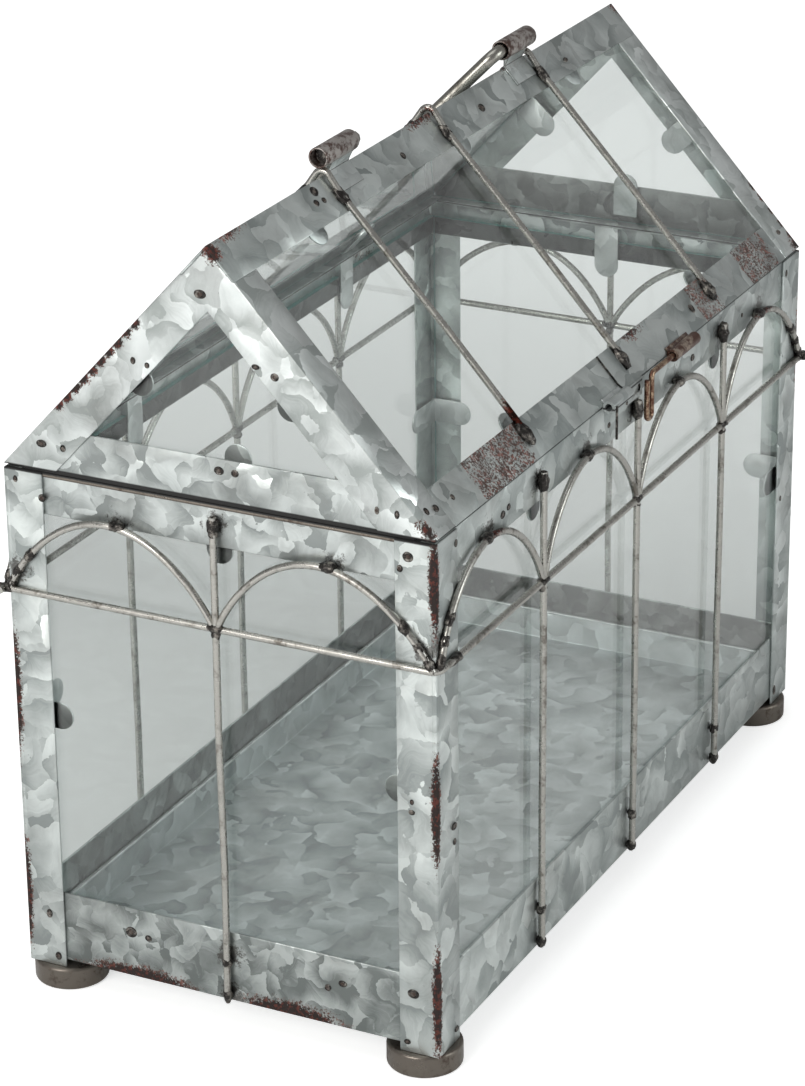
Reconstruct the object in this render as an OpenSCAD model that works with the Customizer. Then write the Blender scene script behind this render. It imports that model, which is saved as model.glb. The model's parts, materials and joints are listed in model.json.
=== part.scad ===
// Tabletop glass house in galvanised steel: a glazed box on four feet under a
// hinged gable roof, with wire tracery, a wire latch and a bail handle.
// X runs along the ridge, -Y is the latch side, Z is up, and the feet stand on Z = 0.

/* [Body] */
// Length over the corner posts
length = 304.8; // [260:0.1:380]
// Width over the corner posts
width = 152.4; // [130:0.1:190]
// Height of the walls' top edge above the table
wall_top = 186; // [165:1:225]
// Width of a post's leg on the long walls
post_leg_x = 15.5; // [12:0.5:20]
// Width of a post's leg on the gable walls
post_leg_y = 14; // [11:0.5:18]
// Height of the top rails
top_rail_h = 14.3; // [12:0.1:18]
// Height of the bottom rails
bottom_rail_h = 25.3; // [20:0.1:32]
// Gap between the foot of a post and the lower edge of a bottom rail
rail_lift = 2.5; // [1:0.5:4]
// Inward flange of every rail
flange = 5; // [4:0.5:6]
// Height of the floor tray's rim
tray_rim = 13; // [8:1:18]

/* [Materials] */
// Thickness of the sheet metal
sheet = 0.8; // [0.6:0.1:1]
// Thickness of the glass
glass = 2; // [1.5:0.1:3]
// Gap left round each pane where it meets another piece
glass_gap = 0.3; // [0.2:0.1:0.6]
// Diameter of the tracery and rib wire
wire = 2.4; // [2:0.1:3]
// Diameter of a soldered collar on the wire
collar = 4; // [3.6:0.1:5]

/* [Feet] */
// Diameter of a foot
foot_d = 25; // [18:0.1:30]
// Height of a foot
foot_h = 8; // [5:0.5:12]
// Distance of a foot's centre from the outer faces of its post
foot_inset = 10; // [8:0.5:12]

/* [Roof] */
// Rise from the eave edge to the ridge
roof_rise = 83.2; // [65:0.1:100]
// Width of every roof strip
strip = 14.2; // [12:0.1:18]
// Seam between the walls' top edge and the eave edge
seam = 1.2; // [1.1:0.1:2]
// Gap between the closed roof's rim and the walls
rim_gap = 0.3; // [0.2:0.1:0.3]

/* [Tracery] */
// Height of the belt wire above the table
belt_z = 144.5; // [125:0.5:150]
// Rise of an arch above the belt wire
arch_rise = 31; // [24:0.5:31]
// Bays between the verticals on a long wall
long_bays = 4; // [3:1:5]
// Bays between the verticals on a gable wall
gable_bays = 2; // [1:1:3]

/* [Roof ribs] */
// Distance of the outer ribs from the middle
rib_x = 76.2; // [66:0.1:90]
// Radius of the rib's bend over the ridge
hump_r = 2.6; // [2:0.1:3]
// Height of the wire's centre line above the ridge
hump_lift = 1.6; // [1.5:0.1:2]
// Extra steepness of a rib below the hump
hump_angle = 8; // [6:1:10]

/* [Handle] */
// Diameter of the handle wire
handle_wire = 4.8; // [4:0.1:5.4]
// Radial clearance of the handle in its tubes
tube_clear = 0.4; // [0.3:0.05:0.5]
// Wall of a handle tube
tube_wall = 0.7; // [0.5:0.1:1]
// Length of a handle tube
tube_len = 22; // [14:0.5:26]
// Distance of a tube's inner end from the middle
tube_from = 57; // [48:0.5:60]
// Reach of the handle from its axis
handle_reach = 66; // [50:1:80]
// Inward lean of the handle's arms
handle_lean = 13; // [5:1:20]

/* [Latch] */
// Left end of the hasp plate from the middle
hasp_left = 11.5; // [8:0.5:16]
// Right end of the hasp plate from the middle
hasp_right = 26.5; // [18:0.5:32]
// Outside diameter of the latch barrels and hinge knuckles
barrel_d = 4.4; // [4:0.1:5]
// Diameter of the latch wire
latch_wire = 2; // [1.6:0.1:2.2]
// Radial clearance of the latch wire in its barrel
latch_clear = 0.3; // [0.2:0.05:0.35]
// Length of the hanging loop below its axis
loop_drop = 16.5; // [12:0.5:20]

/* [Hinges] */
// Distance of each hinge from the middle
hinge_x = 96; // [92:1:96]
// Length of one hinge knuckle
knuckle = 8; // [6:0.5:10]
// Gap between neighbouring knuckles, and between a knuckle and the eave
hinge_gap = 0.3; // [0.2:0.05:0.5]
// Diameter of the hinge pin
hinge_pin = 2; // [1.6:0.1:2.2]
// Radial clearance of the hinge pin
pin_clear = 0.3; // [0.2:0.05:0.35]

/* [Hidden] */
$fn = 48;

hx = length / 2;
hy = width / 2;
// Depths from the outer faces: the rails lie behind the posts, the panes behind the rails
rail_in = sheet;
pane_in = 2 * sheet;
rail_bottom = foot_h + rail_lift;
top_flange_z = wall_top - sheet;
pane_bottom = rail_bottom + sheet;
pane_top = wall_top - top_rail_h / 2;
tray_x = hx - pane_in - glass - glass_gap;
tray_y = hy - pane_in - glass - glass_gap;

// Roof
eave_z = wall_top + seam;
ridge_z = eave_z + roof_rise;
slope = atan2(roof_rise, hy);
slope_len = hy / cos(slope);
rim_z = wall_top + rim_gap;
rim_top = rim_z + sheet;
rim_w = flange + 1.5;
cap_low_z = ridge_z - strip * sin(slope);
roof_glass_in = sheet;
slope_pane_low = ((roof_glass_in + glass) * cos(slope) + glass_gap + rim_top - eave_z) / sin(slope);
slope_pane_high = (hy - glass_gap - (roof_glass_in + glass) * sin(slope)) / cos(slope);

// Tracery
joint_swell = 0.1;
belt_out = wire / 2;
bay_x = length / long_bays;
bay_y = width / gable_bays;
vertical_low = rail_bottom + 0.8;
vertical_high = wall_top - 3;
middle_high = wall_top - 5.6;
collar_len = 8;
solder_d = 4.6;

// Ribs: a straight run and a steeper riser on each side of the hump
rib_foot = 5.6;
rib_steep = slope + hump_angle;
rib_run_y = hy - rib_foot * cos(slope) + belt_out * sin(slope) - hump_r * sin(rib_steep);
rib_run_z = roof_rise + hump_lift - rib_foot * sin(slope) - belt_out * cos(slope)
    - hump_r * (1 - cos(rib_steep));
rib_straight = (rib_run_y * sin(rib_steep) - rib_run_z * cos(rib_steep)) / sin(hump_angle);
rib_riser = (rib_run_z * cos(slope) - rib_run_y * sin(slope)) / sin(hump_angle);

// Handle tubes lie over the outer ribs' humps
tube_d = handle_wire + 2 * tube_clear + 2 * tube_wall;
tube_z = ridge_z + hump_lift + wire / 2 + 0.2 + tube_d / 2;
strap_from = tube_from + 2;
strap_to = rib_x - collar / 2 - 0.6;
strap_y = 8 * cos(slope);
handle_pin = tube_len - 3;
handle_bend = 5.5;
handle_corner = 12;
handle_turn = 90 - handle_lean;
handle_gap = 0.4;
handle_tilt = slope - asin((wire + handle_gap + handle_wire / 2
    - (tube_z - ridge_z) * cos(slope)) / handle_reach);
handle_out = 1.2;

// Latch and hinge axes
barrel_r = barrel_d / 2;
barrel_y = hy + barrel_r;
hinge_y = hy + barrel_r + hinge_gap;
latch_bore = latch_wire + 2 * latch_clear;
tongue_left = 8.5;
tongue_right = 3.4;
tongue_low = wall_top - 4.6;
tongue_hole = 3;
tongue_hole_x = 0.6;
loop_x = 8.6;
loop_gap = 3.6;
loop_low = loop_drop - latch_wire / 2;
tail_d = 0.9;
tail_drop = 11;
barrel_left = [-hasp_left - 15.8, -hasp_left - 0.3];
barrel_right = [hasp_right + 0.3, hasp_right + 20];

// ---------- helpers ----------

// Box from one corner to the opposite one
module block(a, b) translate(a) cube(b - a);

// Extrudes a Y-Z outline along X
module along_x(x0, x1) translate([x0, 0, 0]) rotate([90, 0, 90]) linear_extrude(x1 - x0) children();

// Round bar along X
module bar_x(x0, x1, d) translate([x0, 0, 0]) rotate([0, 90, 0]) cylinder(d = d, h = x1 - x0);

// Places children on the front slope: Y runs up the slope, Z points out of the roof
module front_slope() translate([0, -hy, eave_z]) rotate([slope, 0, 0]) children();

module rear_slope() mirror([0, 1, 0]) front_slope() children();

module both_slopes() {
    front_slope() children();
    rear_slope() children();
}

// Gable outline, its sloping sides moved inwards by d
function gable_outline(d, low = 0) = [
    [-(hy - d / sin(slope)) - low / tan(slope), eave_z - low],
    [hy - d / sin(slope) + low / tan(slope), eave_z - low],
    [0, ridge_z - d / cos(slope)]];

// Band of the gable outline between two depths
module gable_band(outer, inner) difference() {
    polygon(gable_outline(outer));
    polygon(gable_outline(inner, 5));
}

// A wire in the X-Y plane from the origin along +X.
// Each step is [0, length] for a straight or [radius, angle] for a bend, positive to the left.
// A slightly larger ball closes every joint.
module wire_run(steps, d, i = 0) {
    if (i > 0) sphere(d = d + joint_swell);
    if (i < len(steps)) {
        bend_r = steps[i][0];
        amount = steps[i][1];
        side = amount < 0 ? -1 : 1;
        turn = abs(amount);
        if (bend_r == 0) {
            bar_x(0, amount, d);
            translate([amount, 0, 0]) wire_run(steps, d, i + 1);
        } else {
            translate([0, side * bend_r, 0]) rotate([0, 0, side > 0 ? -90 : 90 - turn])
                rotate_extrude(angle = turn) translate([bend_r, 0]) circle(d = d);
            translate([bend_r * sin(turn), side * bend_r * (1 - cos(turn)), 0])
                rotate([0, 0, amount]) wire_run(steps, d, i + 1);
        }
    }
}

// ---------- base: posts, rails, tray ----------

// Corner post at the front left, an angle whose corner points outwards
module corner_post() color("silver") translate([-hx, -hy, foot_h]) linear_extrude(wall_top - foot_h) {
    square([post_leg_x, sheet]);
    square([sheet, post_leg_y]);
}

module post_front_left() corner_post();
module post_front_right() mirror([1, 0, 0]) corner_post();
module post_rear_left() mirror([0, 1, 0]) corner_post();
module post_rear_right() mirror([1, 0, 0]) mirror([0, 1, 0]) corner_post();

// Rail behind the outer face at -Y: an upright strip with an inward flange
module rail(half, flange_half, low, high, flange_z, out) {
    block([-half, -out + rail_in, low], [half, -out + 2 * sheet, high]);
    block([-flange_half, -out + rail_in, flange_z], [flange_half, -out + rail_in + flange, flange_z + sheet]);
}

module long_top_rail() color("silver")
    rail(hx - rail_in, hx - 2 * sheet, wall_top - top_rail_h, wall_top, top_flange_z, hy);

module gable_top_rail() color("silver") rotate([0, 0, -90])
    rail(hy - 2 * sheet, hy - rail_in - flange, wall_top - top_rail_h, wall_top, top_flange_z, hx);

module long_bottom_rail() color("silver")
    rail(hx - rail_in, hx - 2 * sheet, rail_bottom, rail_bottom + bottom_rail_h, rail_bottom, hy);

module gable_bottom_rail() color("silver") rotate([0, 0, -90])
    rail(hy - 2 * sheet, hy - rail_in - flange, rail_bottom, rail_bottom + bottom_rail_h, rail_bottom, hx);

module top_rail_front() long_top_rail();
module top_rail_rear() mirror([0, 1, 0]) long_top_rail();
module top_rail_left() gable_top_rail();
module top_rail_right() mirror([1, 0, 0]) gable_top_rail();
module bottom_rail_front() long_bottom_rail();
module bottom_rail_rear() mirror([0, 1, 0]) long_bottom_rail();
module bottom_rail_left() gable_bottom_rail();
module bottom_rail_right() mirror([1, 0, 0]) gable_bottom_rail();

// Shallow tray that lies on the bottom rails' flanges
module floor_tray() color("lightgray") difference() {
    block([-tray_x, -tray_y, pane_bottom], [tray_x, tray_y, pane_bottom + tray_rim]);
    block([-tray_x + sheet, -tray_y + sheet, pane_bottom + sheet],
        [tray_x - sheet, tray_y - sheet, pane_bottom + tray_rim + 1]);
}

module feet() color("dimgray") for (sx = [-1, 1], sy = [-1, 1])
    translate([sx * (hx - foot_inset), sy * (hy - foot_inset), 0]) cylinder(d = foot_d, h = foot_h);

// ---------- base: glass ----------

module long_pane() color("lightcyan", 0.4)
    block([-(hx - pane_in - glass_gap), -hy + pane_in, pane_bottom],
        [hx - pane_in - glass_gap, -hy + pane_in + glass, pane_top]);

module gable_pane() color("lightcyan", 0.4)
    block([-hx + pane_in, -tray_y, pane_bottom], [-hx + pane_in + glass, tray_y, pane_top]);

module pane_front() long_pane();
module pane_rear() mirror([0, 1, 0]) long_pane();
module pane_left() gable_pane();
module pane_right() mirror([1, 0, 0]) gable_pane();

// ---------- base: wire tracery ----------

// Wires on the outer face at -Y: belt, verticals, arches, and solder where they are fixed.
// The middle vertical stops at mid_high.
module tracery(half, bays, belt_half, mid_high, out) color("gray") {
    $fn = 32;
    bay = 2 * half / bays;
    arch_r = (bay * bay / 4 + arch_rise * arch_rise) / (2 * arch_rise);
    arch_a = asin(bay / 2 / arch_r);
    arch_low = arch_rise > bay / 2 ? 180 - arch_a : arch_a;
    translate([0, -out - belt_out, 0]) {
        translate([0, 0, belt_z]) bar_x(-belt_half, belt_half, wire);
        for (i = [1 : 1 : bays - 1]) {
            x = -half + i * bay;
            high = abs(x) < 1 ? mid_high : vertical_high;
            translate([x, 0, vertical_low]) cylinder(d = wire, h = high - vertical_low);
            translate([x, 0, high - collar_len]) cylinder(d = collar, h = collar_len);
            translate([x, 0, vertical_low + 1]) cylinder(d = collar, h = 3);
            translate([x, 0, rail_bottom + bottom_rail_h - collar_len - 3]) cylinder(d = collar, h = 4);
            translate([x, 0, belt_z]) sphere(d = solder_d);
        }
        for (i = [0 : 1 : bays - 1]) translate([-half + (i + 0.5) * bay, 0, belt_z + arch_rise - arch_r]) {
            rotate([90, 0, 0]) rotate([0, 0, 90 - arch_low])
                rotate_extrude(angle = 2 * arch_low) translate([arch_r, 0]) circle(d = wire);
            translate([-2, belt_out + sheet, arch_r]) rotate([90, 0, 0]) cylinder(d = solder_d, h = wire + sheet);
        }
    }
}

module long_tracery(mid_high) tracery(hx, long_bays, hx + wire, mid_high, hy);

// The gable's wires end at the long walls' outer faces
module gable_tracery() intersection() {
    rotate([0, 0, -90]) tracery(hy, gable_bays, hy, vertical_high, hx);
    block([-hx - 10, -hy, 0], [0, hy, wall_top]);
}

module tracery_front() long_tracery(middle_high);
module tracery_rear() mirror([0, 1, 0]) long_tracery(vertical_high);
module tracery_left() gable_tracery();
module tracery_right() mirror([1, 0, 0]) gable_tracery();

// ---------- clips that hold the glass ----------

clip_w = 9.5;
clip_t = 0.6;
rake_clip_at = 59;
gable_clip_y = -7.5;
clip_root = 3;
corner_clip_z = 100;

// Round-ended tab in the X-Y plane, root at the origin, reaching along +Y
module tab(reach) linear_extrude(clip_t) {
    translate([-clip_w / 2, 0]) square([clip_w, reach - clip_w / 2]);
    translate([0, reach - clip_w / 2]) circle(d = clip_w);
}

// Clip on the inside of the wall at -Y, bent over the pane's top edge and hanging down
module top_clip(x, out) {
    face = -out + pane_in + glass;
    translate([x, face + clip_t, top_flange_z]) rotate([-90, 0, 0]) translate([0, 0, -clip_t]) tab(20);
    block([x - clip_w / 2, -out + pane_in, pane_top], [x + clip_w / 2, face + clip_t, top_flange_z]);
}

// Clips from a corner: along the inside of the long wall, and along the gable wall
module long_corner_clip() rotate([-90, 0, 0]) rotate([0, 0, -90]) tab(post_leg_x + 4);
module gable_corner_clip() rotate([0, 90, 0]) tab(post_leg_y + 2);

module wall_clips() color("gainsboro") {
    for (m = [0, 1]) mirror([0, m, 0]) {
        for (x = [-bay_x, bay_x]) top_clip(x, hy);
        for (n = [0, 1]) mirror([n, 0, 0])
            translate([-hx + pane_in + glass, -hy + pane_in + glass, corner_clip_z]) {
                gable_corner_clip();
                if (m + n > 0) long_corner_clip();
            }
    }
    for (m = [0, 1]) mirror([m, 0, 0]) rotate([0, 0, -90]) top_clip(0, hx);
}

// ---------- roof: strips ----------

module ridge_cap() color("silver") along_x(-hx, hx) difference() {
    polygon(gable_outline(0));
    polygon(gable_outline(sheet, 5));
    translate([-hy, eave_z - 1]) square([width, cap_low_z - eave_z + 1]);
}

// Angle along one gable's sloping edges: a leg on the gable and a leg on each slope
module rake() color("silver") {
    along_x(-hx, -hx + sheet) gable_band(sheet, strip);
    along_x(-hx, -hx + strip) intersection() {
        gable_band(0, sheet);
        translate([-hy, eave_z - 1]) square([width, cap_low_z - eave_z + 1]);
    }
}

// Strip along the eave with the rim flange that lies over the wall's top edge
module eave() color("silver") {
    front_slope() block([-hx + strip, 0, -sheet], [hx - strip, strip, 0]);
    block([-hx + 2 * sheet, -hy + sheet, rim_z], [hx - 2 * sheet, -hy + sheet + rim_w, rim_top]);
}

// Strip along the foot of the gable, behind the rakes, with its rim flange
module gable_rail() color("silver") {
    side = hy - sheet - rim_w;
    along_x(-hx + sheet, -hx + 2 * sheet) {
        intersection() {
            polygon(gable_outline(2 * sheet));
            translate([-hy, eave_z]) square([width, strip]);
        }
        translate([-side, rim_z]) square([2 * side, eave_z - rim_z + 1]);
    }
    block([-hx + sheet, -side, rim_z], [-hx + sheet + rim_w, side, rim_top]);
}

module rake_left() rake();
module rake_right() mirror([1, 0, 0]) rake();
module eave_front() eave();
module eave_rear() mirror([0, 1, 0]) eave();
module gable_rail_left() gable_rail();
module gable_rail_right() mirror([1, 0, 0]) gable_rail();

// ---------- roof: glass ----------

module slope_pane() color("lightcyan", 0.4) front_slope()
    block([-(hx - 2 * sheet - glass_gap), slope_pane_low, -roof_glass_in - glass],
        [hx - 2 * sheet - glass_gap, slope_pane_high, -roof_glass_in]);

module gable_glass() color("lightcyan", 0.4)
    along_x(-hx + 2 * sheet, -hx + 2 * sheet + glass) intersection() {
        polygon(gable_outline(roof_glass_in + glass + glass_gap));
        translate([-hy, rim_top + glass_gap]) square([width, roof_rise]);
    }

module slope_pane_front() slope_pane();
module slope_pane_rear() mirror([0, 1, 0]) slope_pane();
module gable_pane_left() gable_glass();
module gable_pane_right() mirror([1, 0, 0]) gable_glass();

// ---------- roof: ribs ----------

// Collar on a rib, flat where it is soldered to a strip
module rib_collar(from, to) front_slope() difference() {
    translate([0, from, belt_out]) rotate([-90, 0, 0]) cylinder(d = collar, h = to - from);
    block([-collar, from - 1, -collar], [collar, to + 1, 0]);
}

// Its upper collar covers the bend where the wire leaves the ridge cap
module rib_wire(x) color("gray") translate([x, 0, 0]) {
    translate([0, 0, ridge_z + hump_lift - hump_r]) rotate([90, 0, 90]) rotate([0, 0, 90 - rib_steep])
        rotate_extrude(angle = 2 * rib_steep) translate([hump_r, 0]) circle(d = wire);
    for (m = [0, 1]) mirror([0, m, 0]) {
        front_slope() translate([0, rib_foot, belt_out]) rotate([-90, 0, 0]) cylinder(d = wire, h = rib_straight);
        front_slope() translate([0, rib_foot + rib_straight, belt_out]) rotate([hump_angle, 0, 0])
            rotate([-90, 0, 0]) {
                cylinder(d = wire, h = rib_riser);
                translate([0, 0, rib_riser]) sphere(d = wire + 3 * joint_swell);
            }
        rib_collar(rib_foot - 1, rib_foot + 8);
        rib_collar(rib_foot + rib_straight - 5.5, rib_foot + rib_straight + 2);
    }
}

module rib_wire_left() rib_wire(-rib_x);
module rib_wire_middle() rib_wire(0);
module rib_wire_right() rib_wire(rib_x);

// ---------- roof: glass clips ----------

// Tab under the slope pane, hung from beneath a strip
module slope_clip(x, from, reach) front_slope()
    translate([x, from, -roof_glass_in - glass - clip_t]) tab(reach);

// Tab behind the gable pane from a point in the gable, turned from upright
module gable_clip(y, z, turn, reach) translate([-hx + 2 * sheet + glass, y, z])
    rotate([90, 0, 90]) rotate([0, 0, turn]) tab(reach);

module rake_clip() {
    root = roof_glass_in + glass + sheet;
    gable_clip(hy - rake_clip_at * cos(slope) - root * sin(slope),
        eave_z + rake_clip_at * sin(slope) - root * cos(slope), 180 - slope, strip + 0.5);
}

module roof_clips() color("gainsboro") {
    slope_and_rake_clips();
    for (n = [0, 1]) mirror([n, 0, 0]) gable_clip(gable_clip_y, eave_z + clip_root, 0, strip + 2);
}

module slope_and_rake_clips() for (m = [0, 1]) mirror([0, m, 0]) {
    for (x = [-bay_x, bay_x]) slope_clip(x, slope_pane_low + 0.6, strip + 1);
    for (x = [-rib_x - 20, 8, rib_x + 22])
        front_slope() translate([x, slope_pane_high - 3, -roof_glass_in - glass - clip_t])
            rotate([0, 0, 180]) tab(strip - 2);
    for (n = [0, 1]) mirror([n, 0, 0]) rake_clip();
}

// ---------- roof: latch ----------

// Plate on the front eave, notched round the middle rib, with a tongue down over the seam
module hasp_plate() color("darkgray") difference() {
    union() {
        front_slope() linear_extrude(sheet) difference() {
            union() {
                translate([-hasp_left, 3]) square([hasp_left + hasp_right, strip - 3]);
                translate([-hasp_left + 3, 0.1]) square([hasp_left + hasp_right - 6, 4]);
                for (x = [-hasp_left + 3, hasp_right - 3]) translate([x, 3.1]) circle(r = 3);
            }
            translate([-collar / 2 - 0.2, rib_foot - 1.2]) square([collar + 0.4, strip]);
        }
        along_x(-tongue_left, tongue_right) polygon([[-hy - 1, tongue_low], [-hy - 0.2, tongue_low],
            [-hy - 0.2, eave_z + 0.25], [-hy + 0.45, eave_z + 1.2], [-hy - 1, eave_z + 0.3]]);
    }
    translate([tongue_hole_x, -hy, tongue_low + 3]) rotate([90, 0, 0])
        cylinder(d = tongue_hole, h = 5, center = true);
}

// Two barrels soldered to the eave, with a loose tail of wire at the left one
module latch_barrels() color("sienna") {
    for (b = [barrel_left, barrel_right]) difference() {
        union() {
            translate([0, -barrel_y, eave_z]) bar_x(b[0], b[1], barrel_d);
            front_slope() block([b[0] + 1, 0, 0], [b[1] - 1, 2, sheet]);
        }
        translate([0, -barrel_y, eave_z]) bar_x(b[0] - 1, b[1] + 1, latch_bore);
    }
    translate([barrel_left[0] + 1, -barrel_y - barrel_r - 0.3, eave_z - tail_drop])
        cylinder(d = tail_d, h = tail_drop + 0.8);
}

// Wire that turns in the right-hand barrel, with a doubled loop that hangs beside the tongue
module latch_loop() color("saddlebrown") translate([0, -barrel_y, eave_z]) {
    bar_x(loop_x, barrel_right[1] - 2, latch_wire);
    translate([loop_x, 0, -loop_low]) cylinder(d = latch_wire, h = loop_low);
    translate([0, 0, -loop_low]) bar_x(loop_x - loop_gap, loop_x, latch_wire);
    translate([loop_x - loop_gap, 0, -loop_low]) cylinder(d = latch_wire, h = loop_low - 1);
    for (corner = [[loop_x, 0], [loop_x, -loop_low], [loop_x - loop_gap, -loop_low]])
        translate([corner[0], 0, corner[1]]) sphere(d = latch_wire + joint_swell);
}

// ---------- roof: handle ----------

// Two tubes over the ridge, each held by a strap soldered on the front of the cap
module handle_tubes() color("dimgray") for (m = [0, 1]) mirror([m, 0, 0]) difference() {
    union() {
        translate([0, 0, tube_z]) bar_x(tube_from, tube_from + tube_len, tube_d);
        along_x(strap_from, strap_to) polygon([[0, ridge_z], [0, tube_z], [-tube_d / 2 + 0.6, tube_z - 1],
            [-sheet * sin(slope), ridge_z + sheet * cos(slope)],
            [-sheet * sin(slope) - strap_y, ridge_z + sheet * cos(slope) - strap_y * tan(slope)],
            [-strap_y, ridge_z - strap_y * tan(slope)]]);
    }
    translate([0, 0, tube_z]) bar_x(tube_from - 1, tube_from + tube_len + 1, handle_wire + 2 * tube_clear);
}

// Bail between the tubes, lying back over the rear slope
module handle() color("gray") {
    half = tube_from + handle_pin;
    bends = handle_bend + handle_corner;
    arm = (handle_reach - bends * (1 - cos(handle_turn))) / sin(handle_turn);
    pin = handle_pin + handle_out;
    side = pin + bends * sin(handle_turn) + arm * cos(handle_turn);
    translate([-half, 0, tube_z]) rotate([-handle_tilt, 0, 0])
        wire_run([[0, pin], [handle_bend, handle_turn], [0, arm],
            [handle_corner, -handle_turn], [0, 2 * (half - side)], [handle_corner, -handle_turn],
            [0, arm], [handle_bend, handle_turn], [0, pin]], handle_wire);
}

// ---------- hinges at the rear eave ----------

hinge_half = 1.5 * knuckle + hinge_gap;

// Fixed half: leaf on the rear top rail, two outer knuckles and the pin
module hinge_base() color("darkgray") for (x = [-hinge_x, hinge_x]) translate([x, 0, 0]) {
    block([-hinge_half, hy - sheet, wall_top - 11], [hinge_half, hy, wall_top]);
    translate([0, hinge_y, eave_z]) bar_x(-hinge_half, hinge_half, hinge_pin);
    for (m = [0, 1]) mirror([m, 0, 0]) {
        translate([0, hinge_y, eave_z]) bar_x(hinge_half - knuckle, hinge_half, barrel_d);
        block([hinge_half - knuckle, hy - sheet, eave_z - barrel_r], [hinge_half, hinge_y, eave_z - barrel_r + sheet]);
    }
}

// Moving half: leaf on the rear eave strip and the middle knuckle
module hinge_roof() color("darkgray") for (x = [-hinge_x, hinge_x]) translate([x, 0, 0]) difference() {
    union() {
        rear_slope() block([-hinge_half, 1.2, 0], [hinge_half, strip - 2, sheet]);
        rear_slope() block([-knuckle / 2, -1.6, 0], [knuckle / 2, 1.3, sheet]);
        translate([0, hinge_y, eave_z]) bar_x(-knuckle / 2, knuckle / 2, barrel_d);
    }
    translate([0, hinge_y, eave_z]) bar_x(-knuckle, knuckle, hinge_pin + 2 * pin_clear);
}

post_front_left();
post_front_right();
post_rear_left();
post_rear_right();
top_rail_front();
top_rail_rear();
top_rail_left();
top_rail_right();
bottom_rail_front();
bottom_rail_rear();
bottom_rail_left();
bottom_rail_right();
floor_tray();
pane_front();
pane_rear();
pane_left();
pane_right();
feet();
tracery_front();
tracery_rear();
tracery_left();
tracery_right();
wall_clips();
hinge_base();
ridge_cap();
rake_left();
rake_right();
eave_front();
eave_rear();
gable_rail_left();
gable_rail_right();
slope_pane_front();
slope_pane_rear();
gable_pane_left();
gable_pane_right();
rib_wire_left();
rib_wire_middle();
rib_wire_right();
roof_clips();
hasp_plate();
latch_barrels();
handle_tubes();
hinge_roof();
handle();
latch_loop();
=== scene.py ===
"""Looks for a tabletop glass house in galvanised steel.

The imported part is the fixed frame. Folded sheet and glass are eased copies of the
frame's own solids; wires, solder, spot marks, the handle, the latch and the feet
are modelled here, in the frame's own places.
"""

import json
import logging
import math
from dataclasses import dataclass, field
from enum import Enum

import bpy
from mathutils import Matrix, Vector

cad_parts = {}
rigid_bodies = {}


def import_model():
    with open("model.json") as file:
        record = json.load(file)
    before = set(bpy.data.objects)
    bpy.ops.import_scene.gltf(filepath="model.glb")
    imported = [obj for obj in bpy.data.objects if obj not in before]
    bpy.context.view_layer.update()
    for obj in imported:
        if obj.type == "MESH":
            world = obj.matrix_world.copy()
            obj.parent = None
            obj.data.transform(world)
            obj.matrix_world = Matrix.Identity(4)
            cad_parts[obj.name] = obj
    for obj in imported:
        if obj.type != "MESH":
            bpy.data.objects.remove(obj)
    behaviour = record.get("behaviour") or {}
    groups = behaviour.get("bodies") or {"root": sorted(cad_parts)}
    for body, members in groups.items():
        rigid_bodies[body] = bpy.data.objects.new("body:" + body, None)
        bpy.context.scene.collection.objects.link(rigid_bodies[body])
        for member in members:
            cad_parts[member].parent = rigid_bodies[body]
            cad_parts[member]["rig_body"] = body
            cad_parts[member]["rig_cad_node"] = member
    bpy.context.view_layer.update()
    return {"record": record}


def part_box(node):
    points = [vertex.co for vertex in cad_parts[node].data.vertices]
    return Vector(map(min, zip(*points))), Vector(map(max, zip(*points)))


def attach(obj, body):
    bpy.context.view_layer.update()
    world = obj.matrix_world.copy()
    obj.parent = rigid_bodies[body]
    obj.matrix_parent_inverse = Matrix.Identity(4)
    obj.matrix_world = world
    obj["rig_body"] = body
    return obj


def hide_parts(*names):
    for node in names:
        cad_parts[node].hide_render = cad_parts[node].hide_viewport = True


log = logging.getLogger("glass_house")
MM = 0.001
Point = tuple[float, float, float]


class Body(Enum):
    """The rigid bodies that pieces ride on."""

    BASE = "base"
    ROOF = "roof"
    HANDLE = "handle"
    LATCH = "latch"


class Side(Enum):
    """A wall, by the way its outer face looks."""

    FRONT = "front"
    REAR = "rear"
    LEFT = "left"
    RIGHT = "right"


# ---------------------------------------------------------------- the frame


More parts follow.
